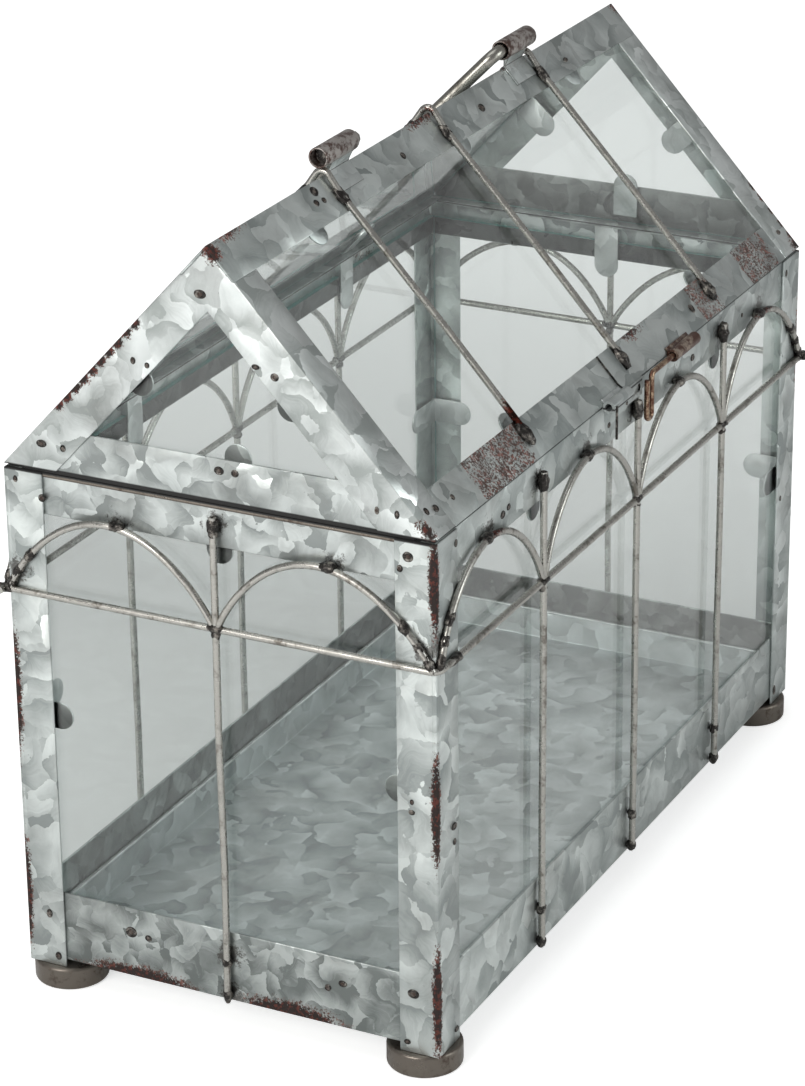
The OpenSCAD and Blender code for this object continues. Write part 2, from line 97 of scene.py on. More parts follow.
@dataclass(frozen=True)
class House:
    """The driving sizes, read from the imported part, in millimetres."""

    half_x: float
    half_y: float
    foot_h: float
    wall_top: float
    eave_z: float
    ridge_z: float
    top_rail_low: float
    bottom_rail_low: float
    bottom_rail_top: float
    sheet: float
    axis_z: float
    latch_y: float
    hinge_y: float

    @classmethod
    def from_frame(cls, record: dict) -> "House":
        """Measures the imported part.

        Args:
            record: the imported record, which states the joints.

        Returns:
            The house's driving sizes.
        """
        post_low, post_high = (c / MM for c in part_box("post_front_left"))
        rake_low, _ = (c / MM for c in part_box("rake_left"))
        _, cap_high = (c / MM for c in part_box("ridge_cap"))
        top_low, _ = (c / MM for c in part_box("top_rail_front"))
        low, high = (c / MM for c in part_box("bottom_rail_front"))
        joints = {j["name"]: Vector(j["pos_m"]) / MM for j in record["behaviour"]["joints"]}
        return cls(
            half_x=-post_low.x,
            half_y=-post_low.y,
            foot_h=post_low.z,
            wall_top=post_high.z,
            eave_z=rake_low.z,
            ridge_z=cap_high.z,
            top_rail_low=top_low.z,
            bottom_rail_low=low.z,
            bottom_rail_top=high.z,
            sheet=low.y + (-post_low.y),
            axis_z=joints["handle_swing"].z,
            latch_y=-joints["latch_swing"].y,
            hinge_y=joints["roof_hinge"].y,
        )

    @property
    def slope(self) -> float:
        """The roof's slope in radians."""
        return math.atan2(self.ridge_z - self.eave_z, self.half_y)

    def on_wall(self, side: Side, u: float, z: float, out: float = 0.0) -> Vector:
        """A place on a wall's outer face.

        Args:
            side: the wall.
            u: distance along the wall from its middle, to the right seen from outside.
            z: height.
            out: distance outwards from the face.

        Returns:
            The place in millimetres.
        """
        return {
            Side.FRONT: Vector((u, -self.half_y - out, z)),
            Side.REAR: Vector((-u, self.half_y + out, z)),
            Side.LEFT: Vector((-self.half_x - out, -u, z)),
            Side.RIGHT: Vector((self.half_x + out, u, z)),
        }[side]

    def on_roof(self, x: float, up: float, out: float = 0.0, rear: bool = False) -> Vector:
        """A place on a roof slope.

        Args:
            x: distance along the ridge from the middle.
            up: distance up the slope from the eave.
            out: distance outwards from the slope.
            rear: True for the rear slope.

        Returns:
            The place in millimetres.
        """
        s, c = math.sin(self.slope), math.cos(self.slope)
        y = self.half_y - up * c + out * s
        return Vector((x, y if rear else -y, self.eave_z + up * s + out * c))

    @property
    def slope_len(self) -> float:
        """The length of the slope from eave to ridge."""
        return self.half_y / math.cos(self.slope)


# ---------------------------------------------------------------- modelling


class Bench:
    """Operator steps that every piece shares."""

    @staticmethod
    def clear() -> None:
        """Leaves edit mode and selects nothing."""
        if bpy.context.object and bpy.context.object.mode != "OBJECT":
            bpy.ops.object.mode_set(mode="OBJECT")
        bpy.ops.object.select_all(action="DESELECT")

    @staticmethod
    def pick(*pieces: bpy.types.Object) -> None:
        """Selects these pieces, the first of them active."""
        Bench.clear()
        for piece in pieces:
            piece.select_set(True)
        bpy.context.view_layer.objects.active = pieces[0]

    @staticmethod
    def copy_of(node: str, name: str) -> bpy.types.Object:
        """Copies a frame node, merges its loose triangles and clears flat edges.

        Args:
            node: the frame node.
            name: the new piece's name.

        Returns:
            The new piece.
        """
        Bench.pick(bpy.data.objects[node])
        bpy.ops.object.duplicate()
        piece = bpy.context.active_object
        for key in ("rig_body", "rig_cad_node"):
            del piece[key]
        piece.parent = None
        piece.name = piece.data.name = name
        piece.data.materials.clear()
        bpy.ops.object.mode_set(mode="EDIT")
        bpy.ops.mesh.select_all(action="SELECT")
        bpy.ops.mesh.remove_doubles(threshold=0.002 * MM)
        bpy.ops.mesh.dissolve_limited(angle_limit=math.radians(0.4))
        bpy.ops.object.mode_set(mode="OBJECT")
        return piece

    @staticmethod
    def ease(piece: bpy.types.Object, width: float, segments: int = 2, finish: int = -1) -> None:
        """Rounds a piece's sharp edges.

        Args:
            piece: the piece.
            width: the bevel's width in millimetres.
            segments: faces across the bevel.
            finish: which of the piece's finishes the bevel takes, its neighbours' if left out.
        """
        Bench.pick(piece)
        bevel = piece.modifiers.new("eased", "BEVEL")
        bevel.width = width * MM
        bevel.segments = segments
        bevel.material = finish
        bevel.limit_method = "ANGLE"
        bevel.angle_limit = math.radians(35)
        bpy.ops.object.modifier_apply(modifier=bevel.name)
        bpy.ops.object.shade_smooth_by_angle(angle=math.radians(40))

    @staticmethod
    def settle(piece: bpy.types.Object, name: str) -> bpy.types.Object:
        """Applies a piece's place, recalculates its normals and names it.

        Args:
            piece: the piece.
            name: its new name.

        Returns:
            The piece.
        """
        Bench.pick(piece)
        bpy.ops.object.transform_apply(location=True, rotation=True, scale=True)
        bpy.ops.object.mode_set(mode="EDIT")
        bpy.ops.mesh.select_all(action="SELECT")
        bpy.ops.mesh.normals_make_consistent(inside=False)
        bpy.ops.object.mode_set(mode="OBJECT")
        bpy.ops.object.shade_smooth_by_angle(angle=math.radians(45))
        piece.name = piece.data.name = name
        return piece

    @staticmethod
    def join(name: str, pieces: list[bpy.types.Object]) -> bpy.types.Object:
        """Joins pieces into one named piece.

        Args:
            name: its name.
            pieces: what is joined.

        Returns:
            The joined piece.
        """
        Bench.pick(*pieces)
        if len(pieces) > 1:
            bpy.ops.object.join()
        piece = bpy.context.active_object
        piece.name = piece.data.name = name
        return piece

    @staticmethod
    def wire(name: str, run: list[Vector], d: float) -> bpy.types.Object:
        """Draws a round wire through points.

        Args:
            name: the piece's name.
            run: the wire's centre line in millimetres.
            d: its diameter in millimetres.

        Returns:
            The wire as a closed mesh.
        """
        Bench.clear()
        bpy.ops.curve.primitive_bezier_curve_add(location=(0, 0, 0))
        piece = bpy.context.active_object
        curve = piece.data
        curve.splines.clear()
        path = curve.splines.new("POLY")
        path.points.add(len(run) - 1)
        for spot, place in zip(path.points, run, strict=True):
            spot.co = (*(place * MM), 1)
        curve.dimensions = "3D"
        curve.bevel_depth = d / 2 * MM
        curve.bevel_resolution = 3
        curve.use_fill_caps = True
        bpy.ops.object.convert(target="MESH")
        piece = bpy.context.active_object
        bpy.ops.object.mode_set(mode="EDIT")
        bpy.ops.mesh.select_all(action="SELECT")
        bpy.ops.mesh.remove_doubles(threshold=0.001 * MM)
        bpy.ops.object.mode_set(mode="OBJECT")
        return Bench.settle(piece, name)

    @staticmethod
    def lump(at: Vector, size: Point, along: Vector | None = None, seed: int = 0) -> bpy.types.Object:
        """A hand-soldered lump.

        Args:
            at: its middle in millimetres.
            size: its half sizes, the last one along its axis.
            along: its axis, upright if left out.
            seed: what makes it differ from the others.

        Returns:
            The lump.
        """
        Bench.clear()
        turn = (along or Vector((0, 0, 1))).to_track_quat("Z", "Y").to_euler()
        bpy.ops.mesh.primitive_uv_sphere_add(
            segments=20, ring_count=14, radius=MM, location=at * MM, rotation=turn, scale=size
        )
        bpy.ops.object.mode_set(mode="EDIT")
        bpy.ops.mesh.select_all(action="SELECT")
        bpy.ops.transform.vertex_random(offset=0.07 * MM, seed=seed)
        bpy.ops.object.mode_set(mode="OBJECT")
        piece = Bench.settle(bpy.context.active_object, "lump")
        melt = bpy.data.textures.get("melt") or bpy.data.textures.new("melt", "CLOUDS")
        melt.noise_scale = 1.7 * MM
        runs = piece.modifiers.new("runs", "DISPLACE")
        runs.texture = melt
        runs.texture_coords = "LOCAL"
        runs.strength = min(size) * 0.85 * MM
        bpy.ops.object.modifier_apply(modifier=runs.name)
        return piece

    @staticmethod
    def mark(at: Vector, out: Vector, r: float, seed: int = 0) -> list[bpy.types.Object]:
        """A burnt spot weld: a rough ring sunk into the face.

        Args:
            at: its middle on the face, in millimetres.
            out: the face's outward direction.
            r: its outer radius in millimetres.
            seed: what makes it differ from the others.

        Returns:
            The ring and its centre.
        """
        Bench.clear()
        turn = out.to_track_quat("Z", "Y").to_euler()
        bpy.ops.mesh.primitive_torus_add(
            location=at * MM, rotation=turn, major_segments=22, minor_segments=8,
            major_radius=r * 0.72 * MM, minor_radius=r * 0.3 * MM,
        )
        bpy.ops.object.mode_set(mode="EDIT")
        bpy.ops.mesh.select_all(action="SELECT")
        bpy.ops.transform.vertex_random(offset=0.05 * MM, seed=seed)
        bpy.ops.object.mode_set(mode="OBJECT")
        bpy.context.active_object.scale = (1 + 0.32 * math.sin(seed), 1 - 0.22 * math.sin(seed * 1.3), 0.8)
        ring = Bench.settle(bpy.context.active_object, "ring")
        return [ring, Bench.lump(at, (r * 0.6, r * 0.55, 0.32), out, seed)]


def arc(
    u0: float, u1: float, z: float, rise: float, lean: float = 0.0, slack: float = 0.0
) -> list[tuple[float, float]]:
    """A hand-bent arch between two feet.

    Args:
        u0: the left foot.
        u1: the right foot.
        z: the feet's height.
        rise: the height of its top over its feet.
        lean: how far its top is pushed to the right.
        slack: 0 for a round arch, 1 for one whose legs run in slanting.

    Returns:
        Its points as (u, z).
    """
    half = (u1 - u0) / 2
    r = (half * half + rise * rise) / (2 * rise)
    reach = math.asin(half / r)
    points = []
    steps = 28
    for i in range(steps + 1):
        a = -reach + 2 * reach * i / steps
        lift = r * math.cos(a) - (r - rise)
        lift += slack * (rise * (1 - (r * math.sin(a) / half) ** 2) - lift)
        points.append(((u0 + u1) / 2 + r * math.sin(a) + lean * lift / rise, z + lift))
    return points


def filleted(corners: list[Vector], radius: float, steps: int = 8) -> list[Vector]:
    """Rounds a path's corners.

    Args:
        corners: the path's corners.
        radius: the bend's radius.
        steps: pieces in each bend.

    Returns:
        The path with its bends.
    """
    path = [corners[0]]
    for before, corner, after in zip(corners, corners[1:], corners[2:]):
        a, b = (before - corner).normalized(), (after - corner).normalized()
        half = a.angle(b) / 2
        back = min(radius / math.tan(half), (before - corner).length * 0.49, (after - corner).length * 0.49)
        r = back * math.tan(half)
        centre = corner + (a + b).normalized() * (r / math.sin(half))
        start, end = corner + a * back - centre, corner + b * back - centre
        turn = start.angle(end)
        for i in range(steps + 1):
            t = i / steps
            path.append(
                centre + (start * math.sin((1 - t) * turn) + end * math.sin(t * turn)) / math.sin(turn)
            )
    path.append(corners[-1])
    return path


# ---------------------------------------------------------------- shader groups


class Sheet:
    """Adds and links the nodes of one shader tree."""

    def __init__(self, tree: bpy.types.NodeTree) -> None:
        """Starts on a tree."""
        self.tree = tree

    def add(self, kind: str, **settings: object) -> bpy.types.Node:
        """Adds a node and sets its properties.

        Args:
            kind: the node's type.
            settings: its properties by name.

        Returns:
            The node.
        """
        node = self.tree.nodes.new(kind)
        for name, value in settings.items():
            setattr(node, name, value)
        return node

    def feed(self, socket: bpy.types.NodeSocket, value: object) -> None:
        """Links a socket, or sets its value.

        Args:
            socket: the input.
            value: what feeds it: another node's socket, or a plain value.
        """
        if isinstance(value, bpy.types.NodeSocket):
            self.tree.links.new(value, socket)
        else:
            socket.default_value = value

    def maths(self, how: str, *values: object, clamp: bool = False) -> bpy.types.NodeSocket:
        """One Math node's result.

        Args:
            how: its operation.
            values: its inputs in order.
            clamp: whether it stays within 0 to 1.

        Returns:
            Its output.
        """
        node = self.add("ShaderNodeMath", operation=how, use_clamp=clamp)
        for socket, value in zip(node.inputs, values):
            self.feed(socket, value)
        return node.outputs[0]

    def vector(self, how: str, *values: object, scale: object = None) -> bpy.types.NodeSocket:
        """One Vector Math node's vector.

        Args:
            how: its operation.
            values: its inputs in order.
            scale: its Scale input, if it has one.

        Returns:
            Its number for a length, distance or dot product, its vector for the rest.
        """
        node = self.add("ShaderNodeVectorMath", operation=how)
        for socket, value in zip(node.inputs, values):
            self.feed(socket, value)
        if scale is not None:
            self.feed(node.inputs["Scale"], scale)
        return node.outputs["Value" if how in ("LENGTH", "DISTANCE", "DOT_PRODUCT") else "Vector"]

    def blend(self, factor: object, a: object, b: object) -> bpy.types.NodeSocket:
        """Mixes two colours.

        Args:
            factor: the second colour's share.
            a: the first colour.
            b: the second colour.

        Returns:
            The mix.
        """
        node = self.add("ShaderNodeMix", data_type="RGBA")
        self.feed(node.inputs["Factor"], factor)
        self.feed(node.inputs[6], a)
        self.feed(node.inputs[7], b)
        return node.outputs[2]

    def steps(
        self, value: object, low: float, high: float, to_low: float = 0, to_high: float = 1
    ) -> bpy.types.NodeSocket:
        """A smooth step between two values.

        Args:
            value: what is read.
            low: where the step starts.
            high: where it ends.
            to_low: the result before it.
            to_high: the result after it.

        Returns:
            The result.
        """
        node = self.add("ShaderNodeMapRange", interpolation_type="SMOOTHSTEP")
        for socket, given in zip(node.inputs, (value, low, high, to_low, to_high)):
            self.feed(socket, given)
        return node.outputs["Result"]

    def noise(self, where: object, scale: object, detail: float = 3, rough: float = 0.55) -> bpy.types.Node:
        """A noise texture.

        Args:
            where: its place vector.
            scale: its scale.
            detail: its octaves.
            rough: how strong the finer ones are.

        Returns:
            The node.
        """
        node = self.add("ShaderNodeTexNoise")
        self.feed(node.inputs["Vector"], where)
        self.feed(node.inputs["Scale"], scale)
        node.inputs["Detail"].default_value = detail
        node.inputs["Roughness"].default_value = rough
        return node


@dataclass(frozen=True)
class Socket:
    """One socket of a shader group."""

    name: str
    kind: str = "NodeSocketFloat"
    start: float | None = None


def new_group(name: str, inputs: list[Socket], outputs: list[Socket]) -> tuple[Sheet, dict, dict]:
    """Makes an empty shader group.

    Args:
        name: its name.
        inputs: its inputs.
        outputs: its outputs.

    Returns:
        The sheet, the inputs' sockets and the outputs' sockets, by name.
    """
    tree = bpy.data.node_groups.new(name, "ShaderNodeTree")
    for socket in inputs:
        made = tree.interface.new_socket(socket.name, in_out="INPUT", socket_type=socket.kind)
        if socket.start is not None:
            made.default_value = socket.start
    for socket in outputs:
        tree.interface.new_socket(socket.name, in_out="OUTPUT", socket_type=socket.kind)
    sheet = Sheet(tree)
    into, out = sheet.add("NodeGroupInput"), sheet.add("NodeGroupOutput")
    get = {s.name: into.outputs[s.name] for s in inputs}
    put = {s.name: out.inputs[s.name] for s in outputs}
    return sheet, get, put


@dataclass(frozen=True)
class Patch:
    """Where rust gathers: the middle and half sizes of an ellipsoid or a box, in millimetres."""

    middle: Point
    reach: Point
    dense: float = 1.0
    boxed: bool = False


class Effects:
    """The shader groups that several finishes share."""

    def __init__(self, house: House) -> None:
        """Builds every group once.

        Args:
            house: the sizes that the groups follow.
        """
        self.house = house
        self.spangle = self.make_spangle()
        self.rust = self.make_rust()

    def make_spangle(self) -> bpy.types.NodeTree:
        """Zinc crystals: curved leaves, each with its own direction, tone, ribs and tilt.

        Returns:
            The group.
        """
        sheet, get, put = new_group(
            "zinc_spangle",
            [Socket("Size", start=12.0), Socket("Contrast", start=1.0), Socket("Tilt", start=0.2)],
            [Socket("Tone"), Socket("Grain"), Socket("Normal", "NodeSocketVector")],
        )
        place = sheet.add("ShaderNodeTexCoord").outputs["Object"]
        cells = sheet.vector("SCALE", place, scale=sheet.maths("DIVIDE", 1 / MM, get["Size"]))
        swirl = sheet.vector("SUBTRACT", sheet.noise(cells, 0.8, 1.5, 0.45).outputs["Color"], (0.5, 0.5, 0.5))
        frayed = sheet.vector("SUBTRACT", sheet.noise(cells, 4.5, 3, 0.6).outputs["Color"], (0.5, 0.5, 0.5))
        bent = sheet.vector("ADD", cells, sheet.vector("SCALE", swirl, scale=1.9))
        bent = sheet.vector("ADD", bent, sheet.vector("SCALE", frayed, scale=0.2))
        crystal = sheet.add("ShaderNodeTexVoronoi", feature="F1")
        sheet.feed(crystal.inputs["Vector"], bent)
        crystal.inputs["Scale"].default_value = 1.0
        own = sheet.add("ShaderNodeSeparateColor")
        sheet.feed(own.inputs[0], crystal.outputs["Color"])
        turned = sheet.add("ShaderNodeVectorRotate", rotation_type="EULER_XYZ")
        sheet.feed(turned.inputs["Vector"], sheet.vector("SUBTRACT", bent, crystal.outputs["Position"]))
        sheet.feed(turned.inputs["Rotation"], sheet.vector("SCALE", crystal.outputs["Color"], scale=6.3))
        along = sheet.add("ShaderNodeSeparateXYZ")
        sheet.feed(along.inputs[0], turned.outputs[0])
        fan = sheet.maths("ARCTAN2", along.outputs[1], sheet.maths("ADD", along.outputs[0], 0.7))
        ray = sheet.add("ShaderNodeCombineXYZ")
        sheet.feed(ray.inputs[0], sheet.maths("MULTIPLY", fan, 5.0))
        sheet.feed(ray.inputs[1], sheet.maths("MULTIPLY", along.outputs[0], 0.8))
        sheet.feed(ray.inputs[2], sheet.maths("MULTIPLY", own.outputs[1], 30.0))
        ribs = sheet.maths("SUBTRACT", sheet.noise(ray.outputs[0], 1.3, 3, 0.6).outputs["Fac"], 0.5)
        tone = sheet.maths("MULTIPLY", sheet.maths("SUBTRACT", own.outputs[0], 0.5), 0.42)
        tone = sheet.maths("ADD", tone, sheet.maths("MULTIPLY", along.outputs[0], 0.85))
        tone = sheet.maths("ADD", tone, sheet.maths("MULTIPLY", ribs, 0.55))
        tone = sheet.maths("MULTIPLY", tone, get["Contrast"])
        sheet.feed(put["Tone"], sheet.maths("ADD", tone, 0.5, clamp=True))
        sheet.feed(put["Grain"], sheet.noise(place, 900, 2).outputs["Fac"])
        lean = sheet.vector("SUBTRACT", crystal.outputs["Color"], (0.5, 0.5, 0.5))
        amount = sheet.maths("ADD", sheet.maths("MULTIPLY", along.outputs[0], 1.6), 0.6)
        lean = sheet.vector("SCALE", lean, scale=sheet.maths("MULTIPLY", amount, get["Tilt"]))
        normal = sheet.vector("ADD", sheet.add("ShaderNodeNewGeometry").outputs["Normal"], lean)
        sheet.feed(put["Normal"], sheet.vector("NORMALIZE", normal))
        return sheet.tree

    def rust_patches(self) -> list[Patch]:
        """Where the sheet has rusted: at the corners, along worn edges and by the hasp.

        Returns:
            The patches.
        """
        h = self.house
        x, y, top, eave, ridge = h.half_x, h.half_y, h.wall_top, h.eave_z, h.ridge_z
        low = h.bottom_rail_low
        patches = [
            Patch((-x, -y, top - 14), (3.3, 3.3, 24), 1.25),
            Patch((-x, -y, 97), (3.2, 3.2, 27), 1.25),
            Patch((-x, -y, 28), (3.3, 3.3, 27), 1.25),
            Patch((-x, y, 108), (4, 3.2, 32), 1.2),
            Patch((-x, y, 34), (4, 3.2, 28), 1.2),
            Patch((-x, 34, low), (4, 29, 6), 1.2),
            Patch((-x, -22, low), (4, 27, 7.5), 1.2),
            Patch((-x, -3, ridge - 1), (7, 6, 6), 1.1),
            Patch((-x + 14, 1, ridge), (14, 5, 4), 0.8),
            Patch((-x, -y + 1, eave + 4), (5, 7, 6)),
            Patch((-97, -y + 4.8, eave + 5.2), (20, 6, 6.4), 0.4, True),
            Patch((15, -y + 10, eave + 10.6), (13, 5, 5.4), 0.85),
            Patch((120, -y + 4.8, eave + 5.2), (14, 6, 6.4), 0.38, True),
            Patch((72, -y + 4.8, eave + 5.2), (9, 6, 6.4), 0.36, True),
            Patch((-114, -y - 1.4, 175.5), (10, 1.7, 4), 1.0),
            Patch((114, -y - 1.4, 175.5), (13, 1.7, 5), 1.0),
            Patch((x, -y, eave + 2), (8, 6, 6), 0.9),
            Patch((x, 0, ridge), (5, 8, 8), 0.9),
            Patch((-8, 0, ridge), (16, 4, 4), 0.8),
            Patch((x, -y, 150), (2.5, 2.5, 25)),
            Patch((66, 0, ridge), (14, 5, 5), 0.8),
            Patch((x, y, 60), (3, 3, 30)),
            Patch((-60, y, eave + 6), (30, 7, 8), 0.7),
            Patch((90, y, top - 6), (26, 3, 6), 0.7),
            Patch((40, y, low), (40, 4, 6)),
            Patch((x, 20, low), (4, 26, 6)),
            Patch((-76, -y + 9, eave + 10), (3, 11, 12), 1.2),
            Patch((-x + 26, -y, 4), (9, 8, 4), 0.8),
        ]
        for step in range(10):
            t = 0.28 + 0.042 * step
            patches.append(Patch((-x, y * (1 - t), eave + (ridge - eave) * t), (4, 3.4, 3.4), 1.2))
        for step in range(6):
            t = 0.05 * step
            patches.append(Patch((x, -y * (1 - t), eave + (ridge - eave) * t), (3, 3, 3), 1.0))
        return patches

    def burns(self) -> list[Point]:
        """Where soldering has scorched the sheet: behind the wires' joints.

        Returns:
            Their places in millimetres.
        """
        h, belt = self.house, 144.5
        spots = [(x * h.half_x / 2, -h.half_y, h.wall_top - z) for x, z in ((-1, 7), (0, 9), (1, 7))]
        spots += [(x * h.half_x / 4, -h.half_y, belt + 31) for x in (-3, -1, 1, 3)]
        spots += [(-h.half_x, y * h.half_y / 2 - 3, belt + 28) for y in (-1, 1)]
        spots += [(-h.half_x, 0, h.wall_top - 7), (-h.half_x, 0, 27), (-h.half_x, 0, 13)]
        spots += [(-h.half_x, y * (h.half_y - 3), belt + 6) for y in (-1, 1)]
        spots += [(x * (h.half_x - 4), -h.half_y, belt + 8) for x in (-1, 1)]
        return [tuple(spot) for spot in spots]

    def make_rust(self) -> bpy.types.NodeTree:
        """Rust specks gathered in patches, scorched spots and painted shade in the seam under the roof.

        Returns:
            The group.
        """
        sheet, get, put = new_group(
            "rust_burns_and_seam_shade",
            [Socket("Amount", start=1.0)],
            [
                Socket("Mask"), Socket("Colour", "NodeSocketColor"), Socket("Burn"), Socket("Seam"),
                Socket("Smudge"),
            ],
        )
        place = sheet.add("ShaderNodeTexCoord").outputs["Object"]
        near: object = 0.0
        for patch in self.rust_patches():
            apart = sheet.vector("SUBTRACT", place, tuple(c * MM for c in patch.middle))
            apart = sheet.vector("DIVIDE", apart, tuple(c * MM for c in patch.reach))
            if patch.boxed:
                sides = sheet.add("ShaderNodeSeparateXYZ")
                sheet.feed(sides.inputs[0], sheet.vector("ABSOLUTE", apart))
                far = sheet.maths("MAXIMUM", sides.outputs[0], sides.outputs[1])
                inside = sheet.steps(sheet.maths("MAXIMUM", far, sides.outputs[2]), 0.88, 1.0, 1, 0)
            else:
                inside = sheet.maths("SUBTRACT", 1.0, sheet.vector("LENGTH", apart))
            near = sheet.maths("MAXIMUM", near, sheet.maths("MULTIPLY", inside, patch.dense))
        specks = sheet.noise(place, 1250, 3, 0.75).outputs["Fac"]
        blots = sheet.noise(place, 240, 3, 0.6).outputs["Fac"]
        dense = sheet.maths("MULTIPLY", near, 0.52)
        dense = sheet.maths("ADD", dense, sheet.maths("MULTIPLY", sheet.maths("SUBTRACT", blots, 0.5), 0.4))
        mask = sheet.steps(sheet.maths("ADD", specks, dense), 0.66, 0.72)
        mask = sheet.maths("MULTIPLY", mask, sheet.steps(near, 0.0, 0.1))
        sheet.feed(put["Mask"], sheet.maths("MULTIPLY", mask, get["Amount"], clamp=True))
        reds = sheet.noise(place, 620, 2, 0.6).outputs["Fac"]
        fleck = sheet.steps(reds, 0.5, 0.62)
        deep = sheet.blend(fleck, (0.020, 0.011, 0.009, 1), (0.11, 0.026, 0.018, 1))
        pale = sheet.blend(fleck, (0.085, 0.05, 0.042, 1), (0.25, 0.12, 0.10, 1))
        sheet.feed(put["Colour"], sheet.blend(sheet.steps(near, 0.3, 0.6), pale, deep))
        burnt: object = 1.0
        for spot in self.burns():
            apart = sheet.vector("DISTANCE", place, tuple(c * MM for c in spot))
            burnt = sheet.maths("MINIMUM", burnt, apart)
        ragged = sheet.maths("SUBTRACT", sheet.maths("ADD", blots, specks), 1.0)
        burnt = sheet.maths("ADD", burnt, sheet.maths("MULTIPLY", ragged, 12 * MM))
        sheet.feed(put["Burn"], sheet.steps(burnt, 2.0 * MM, 5.0 * MM, 1, 0))
        # Painted shade: a near-black band along the gap under the roof, full at the gable ends and thinner
        # elsewhere.
        high = sheet.add("ShaderNodeSeparateXYZ")
        sheet.feed(high.inputs[0], place)
        seam_z, end_x = self.house.wall_top + 0.6, self.house.half_x - 1.2
        gap = sheet.maths("ABSOLUTE", sheet.maths("SUBTRACT", high.outputs[2], seam_z * MM))
        gable = sheet.steps(sheet.maths("ABSOLUTE", high.outputs[0]), (end_x - 0.8) * MM, end_x * MM)
        gap = sheet.maths("ADD", gap, sheet.maths("MULTIPLY", sheet.maths("SUBTRACT", 1.0, gable), 0.8 * MM))
        sheet.feed(put["Seam"], sheet.steps(gap, 0.9 * MM, 1.4 * MM, 1, 0))
        sheet.feed(put["Smudge"], sheet.noise(place, 45, 4, 0.6).outputs["Fac"])
        return sheet.tree


# ---------------------------------------------------------------- finishes


def surface(name: str) -> tuple[bpy.types.Material, Sheet, bpy.types.Node]:
    """A new material with its sheet and its shader.

    Args:
        name: the material's name.

    Returns:
        The material, its sheet of nodes and its Principled BSDF.
    """
    material = bpy.data.materials.new(name)
    material.use_nodes = True
    sheet = Sheet(material.node_tree)
    return material, sheet, material.node_tree.nodes["Principled BSDF"]


@dataclass(frozen=True)
class ZincSheet:
    """Hot-dipped sheet with large crystals."""

    name: str
    size: float = 12.0
    contrast: float = 1.0
    tilt: float = 0.22
    dark: Point = (0.31, 0.34, 0.335)
    light: Point = (0.68, 0.725, 0.71)
    rust: float = 1.0

    def make(self, effects: Effects) -> bpy.types.Material:
        """Builds the material.

        Args:
            effects: the shared shader groups.

        Returns:
            The material.
        """
        material, sheet, shader = surface(self.name)
        spangle = sheet.add("ShaderNodeGroup", node_tree=effects.spangle)
        spangle.inputs["Size"].default_value = self.size
        spangle.inputs["Contrast"].default_value = self.contrast
        spangle.inputs["Tilt"].default_value = self.tilt
        rust = sheet.add("ShaderNodeGroup", node_tree=effects.rust)
        rust.inputs["Amount"].default_value = self.rust
        colour = sheet.blend(spangle.outputs["Tone"], (*self.dark, 1), (*self.light, 1))
        dirt = sheet.steps(rust.outputs["Smudge"], 0.45, 0.75, 0, 0.35)
        colour = sheet.blend(dirt, colour, (0.16, 0.16, 0.15, 1))
        stain = sheet.maths("MULTIPLY", rust.outputs["Burn"], 0.8)
        colour = sheet.blend(stain, colour, (0.045, 0.036, 0.03, 1))
        # Painted shade: the sheet turns near black in the seam under the roof.
        colour = sheet.blend(rust.outputs["Seam"], colour, (0.02, 0.02, 0.02, 1))
        colour = sheet.blend(rust.outputs["Mask"], colour, rust.outputs["Colour"])
        sheet.feed(shader.inputs["Base Color"], colour)
        rough = sheet.steps(spangle.outputs["Tone"], 0, 1, 0.46, 0.30)
        # The rust and the painted seam shade both roughen the sheet and take away its metal look.
        rust_and_seam_shade = sheet.maths("MAXIMUM", rust.outputs["Mask"], rust.outputs["Seam"])
        rough = sheet.maths("MAXIMUM", rough, sheet.maths("MULTIPLY", rust_and_seam_shade, 0.8))
        sheet.feed(shader.inputs["Roughness"], rough)
        sheet.feed(shader.inputs["Metallic"], sheet.steps(rust_and_seam_shade, 0, 1, 0.8, 0.05))
        bump = sheet.add("ShaderNodeBump")
        bump.inputs["Strength"].default_value = 0.3
        bump.inputs["Distance"].default_value = 0.12 * MM
        sheet.feed(bump.inputs["Height"], spangle.outputs["Grain"])
        sheet.feed(bump.inputs["Normal"], spangle.outputs["Normal"])
        sheet.feed(shader.inputs["Normal"], bump.outputs["Normal"])
        return material


@dataclass(frozen=True)
class Blotched:
    """Metal whose two tones break up over the surface, as on wire, solder and rust."""

    name: str
    first: Point
    second: Point
    scale: float = 200.0
    share: float = 0.5
    metallic: float = 0.85
    roughness: float = 0.38
    depth: float = 0.08
    rust: float = 0.0

    def make(self, effects: Effects) -> bpy.types.Material:
        """Builds the material.

        Args:
            effects: the shared shader groups.

        Returns:
            The material.
        """
        material, sheet, shader = surface(self.name)
        place = sheet.add("ShaderNodeTexCoord").outputs["Object"]
        blots = sheet.noise(place, self.scale, 5, 0.62).outputs["Fac"]
        fine = sheet.noise(place, self.scale * 7, 3, 0.6).outputs["Fac"]
        mixed = sheet.maths("ADD", blots, sheet.maths("MULTIPLY", sheet.maths("SUBTRACT", fine, 0.5), 0.35))
        edge = 1 - self.share
        colour = sheet.blend(sheet.steps(mixed, edge - 0.1, edge + 0.1), (*self.first, 1), (*self.second, 1))
        if self.rust:
            rust = sheet.add("ShaderNodeGroup", node_tree=effects.rust)
            rust.inputs["Amount"].default_value = self.rust
            colour = sheet.blend(rust.outputs["Mask"], colour, rust.outputs["Colour"])
        sheet.feed(shader.inputs["Base Color"], colour)
        rough = sheet.steps(mixed, 0.3, 0.7, self.roughness - 0.08, self.roughness + 0.16)
        sheet.feed(shader.inputs["Roughness"], rough)
        shader.inputs["Metallic"].default_value = self.metallic
        bump = sheet.add("ShaderNodeBump")
        bump.inputs["Strength"].default_value = 0.5
        bump.inputs["Distance"].default_value = self.depth * MM
        sheet.feed(bump.inputs["Height"], mixed)
        sheet.feed(shader.inputs["Normal"], bump.outputs["Normal"])
        return material


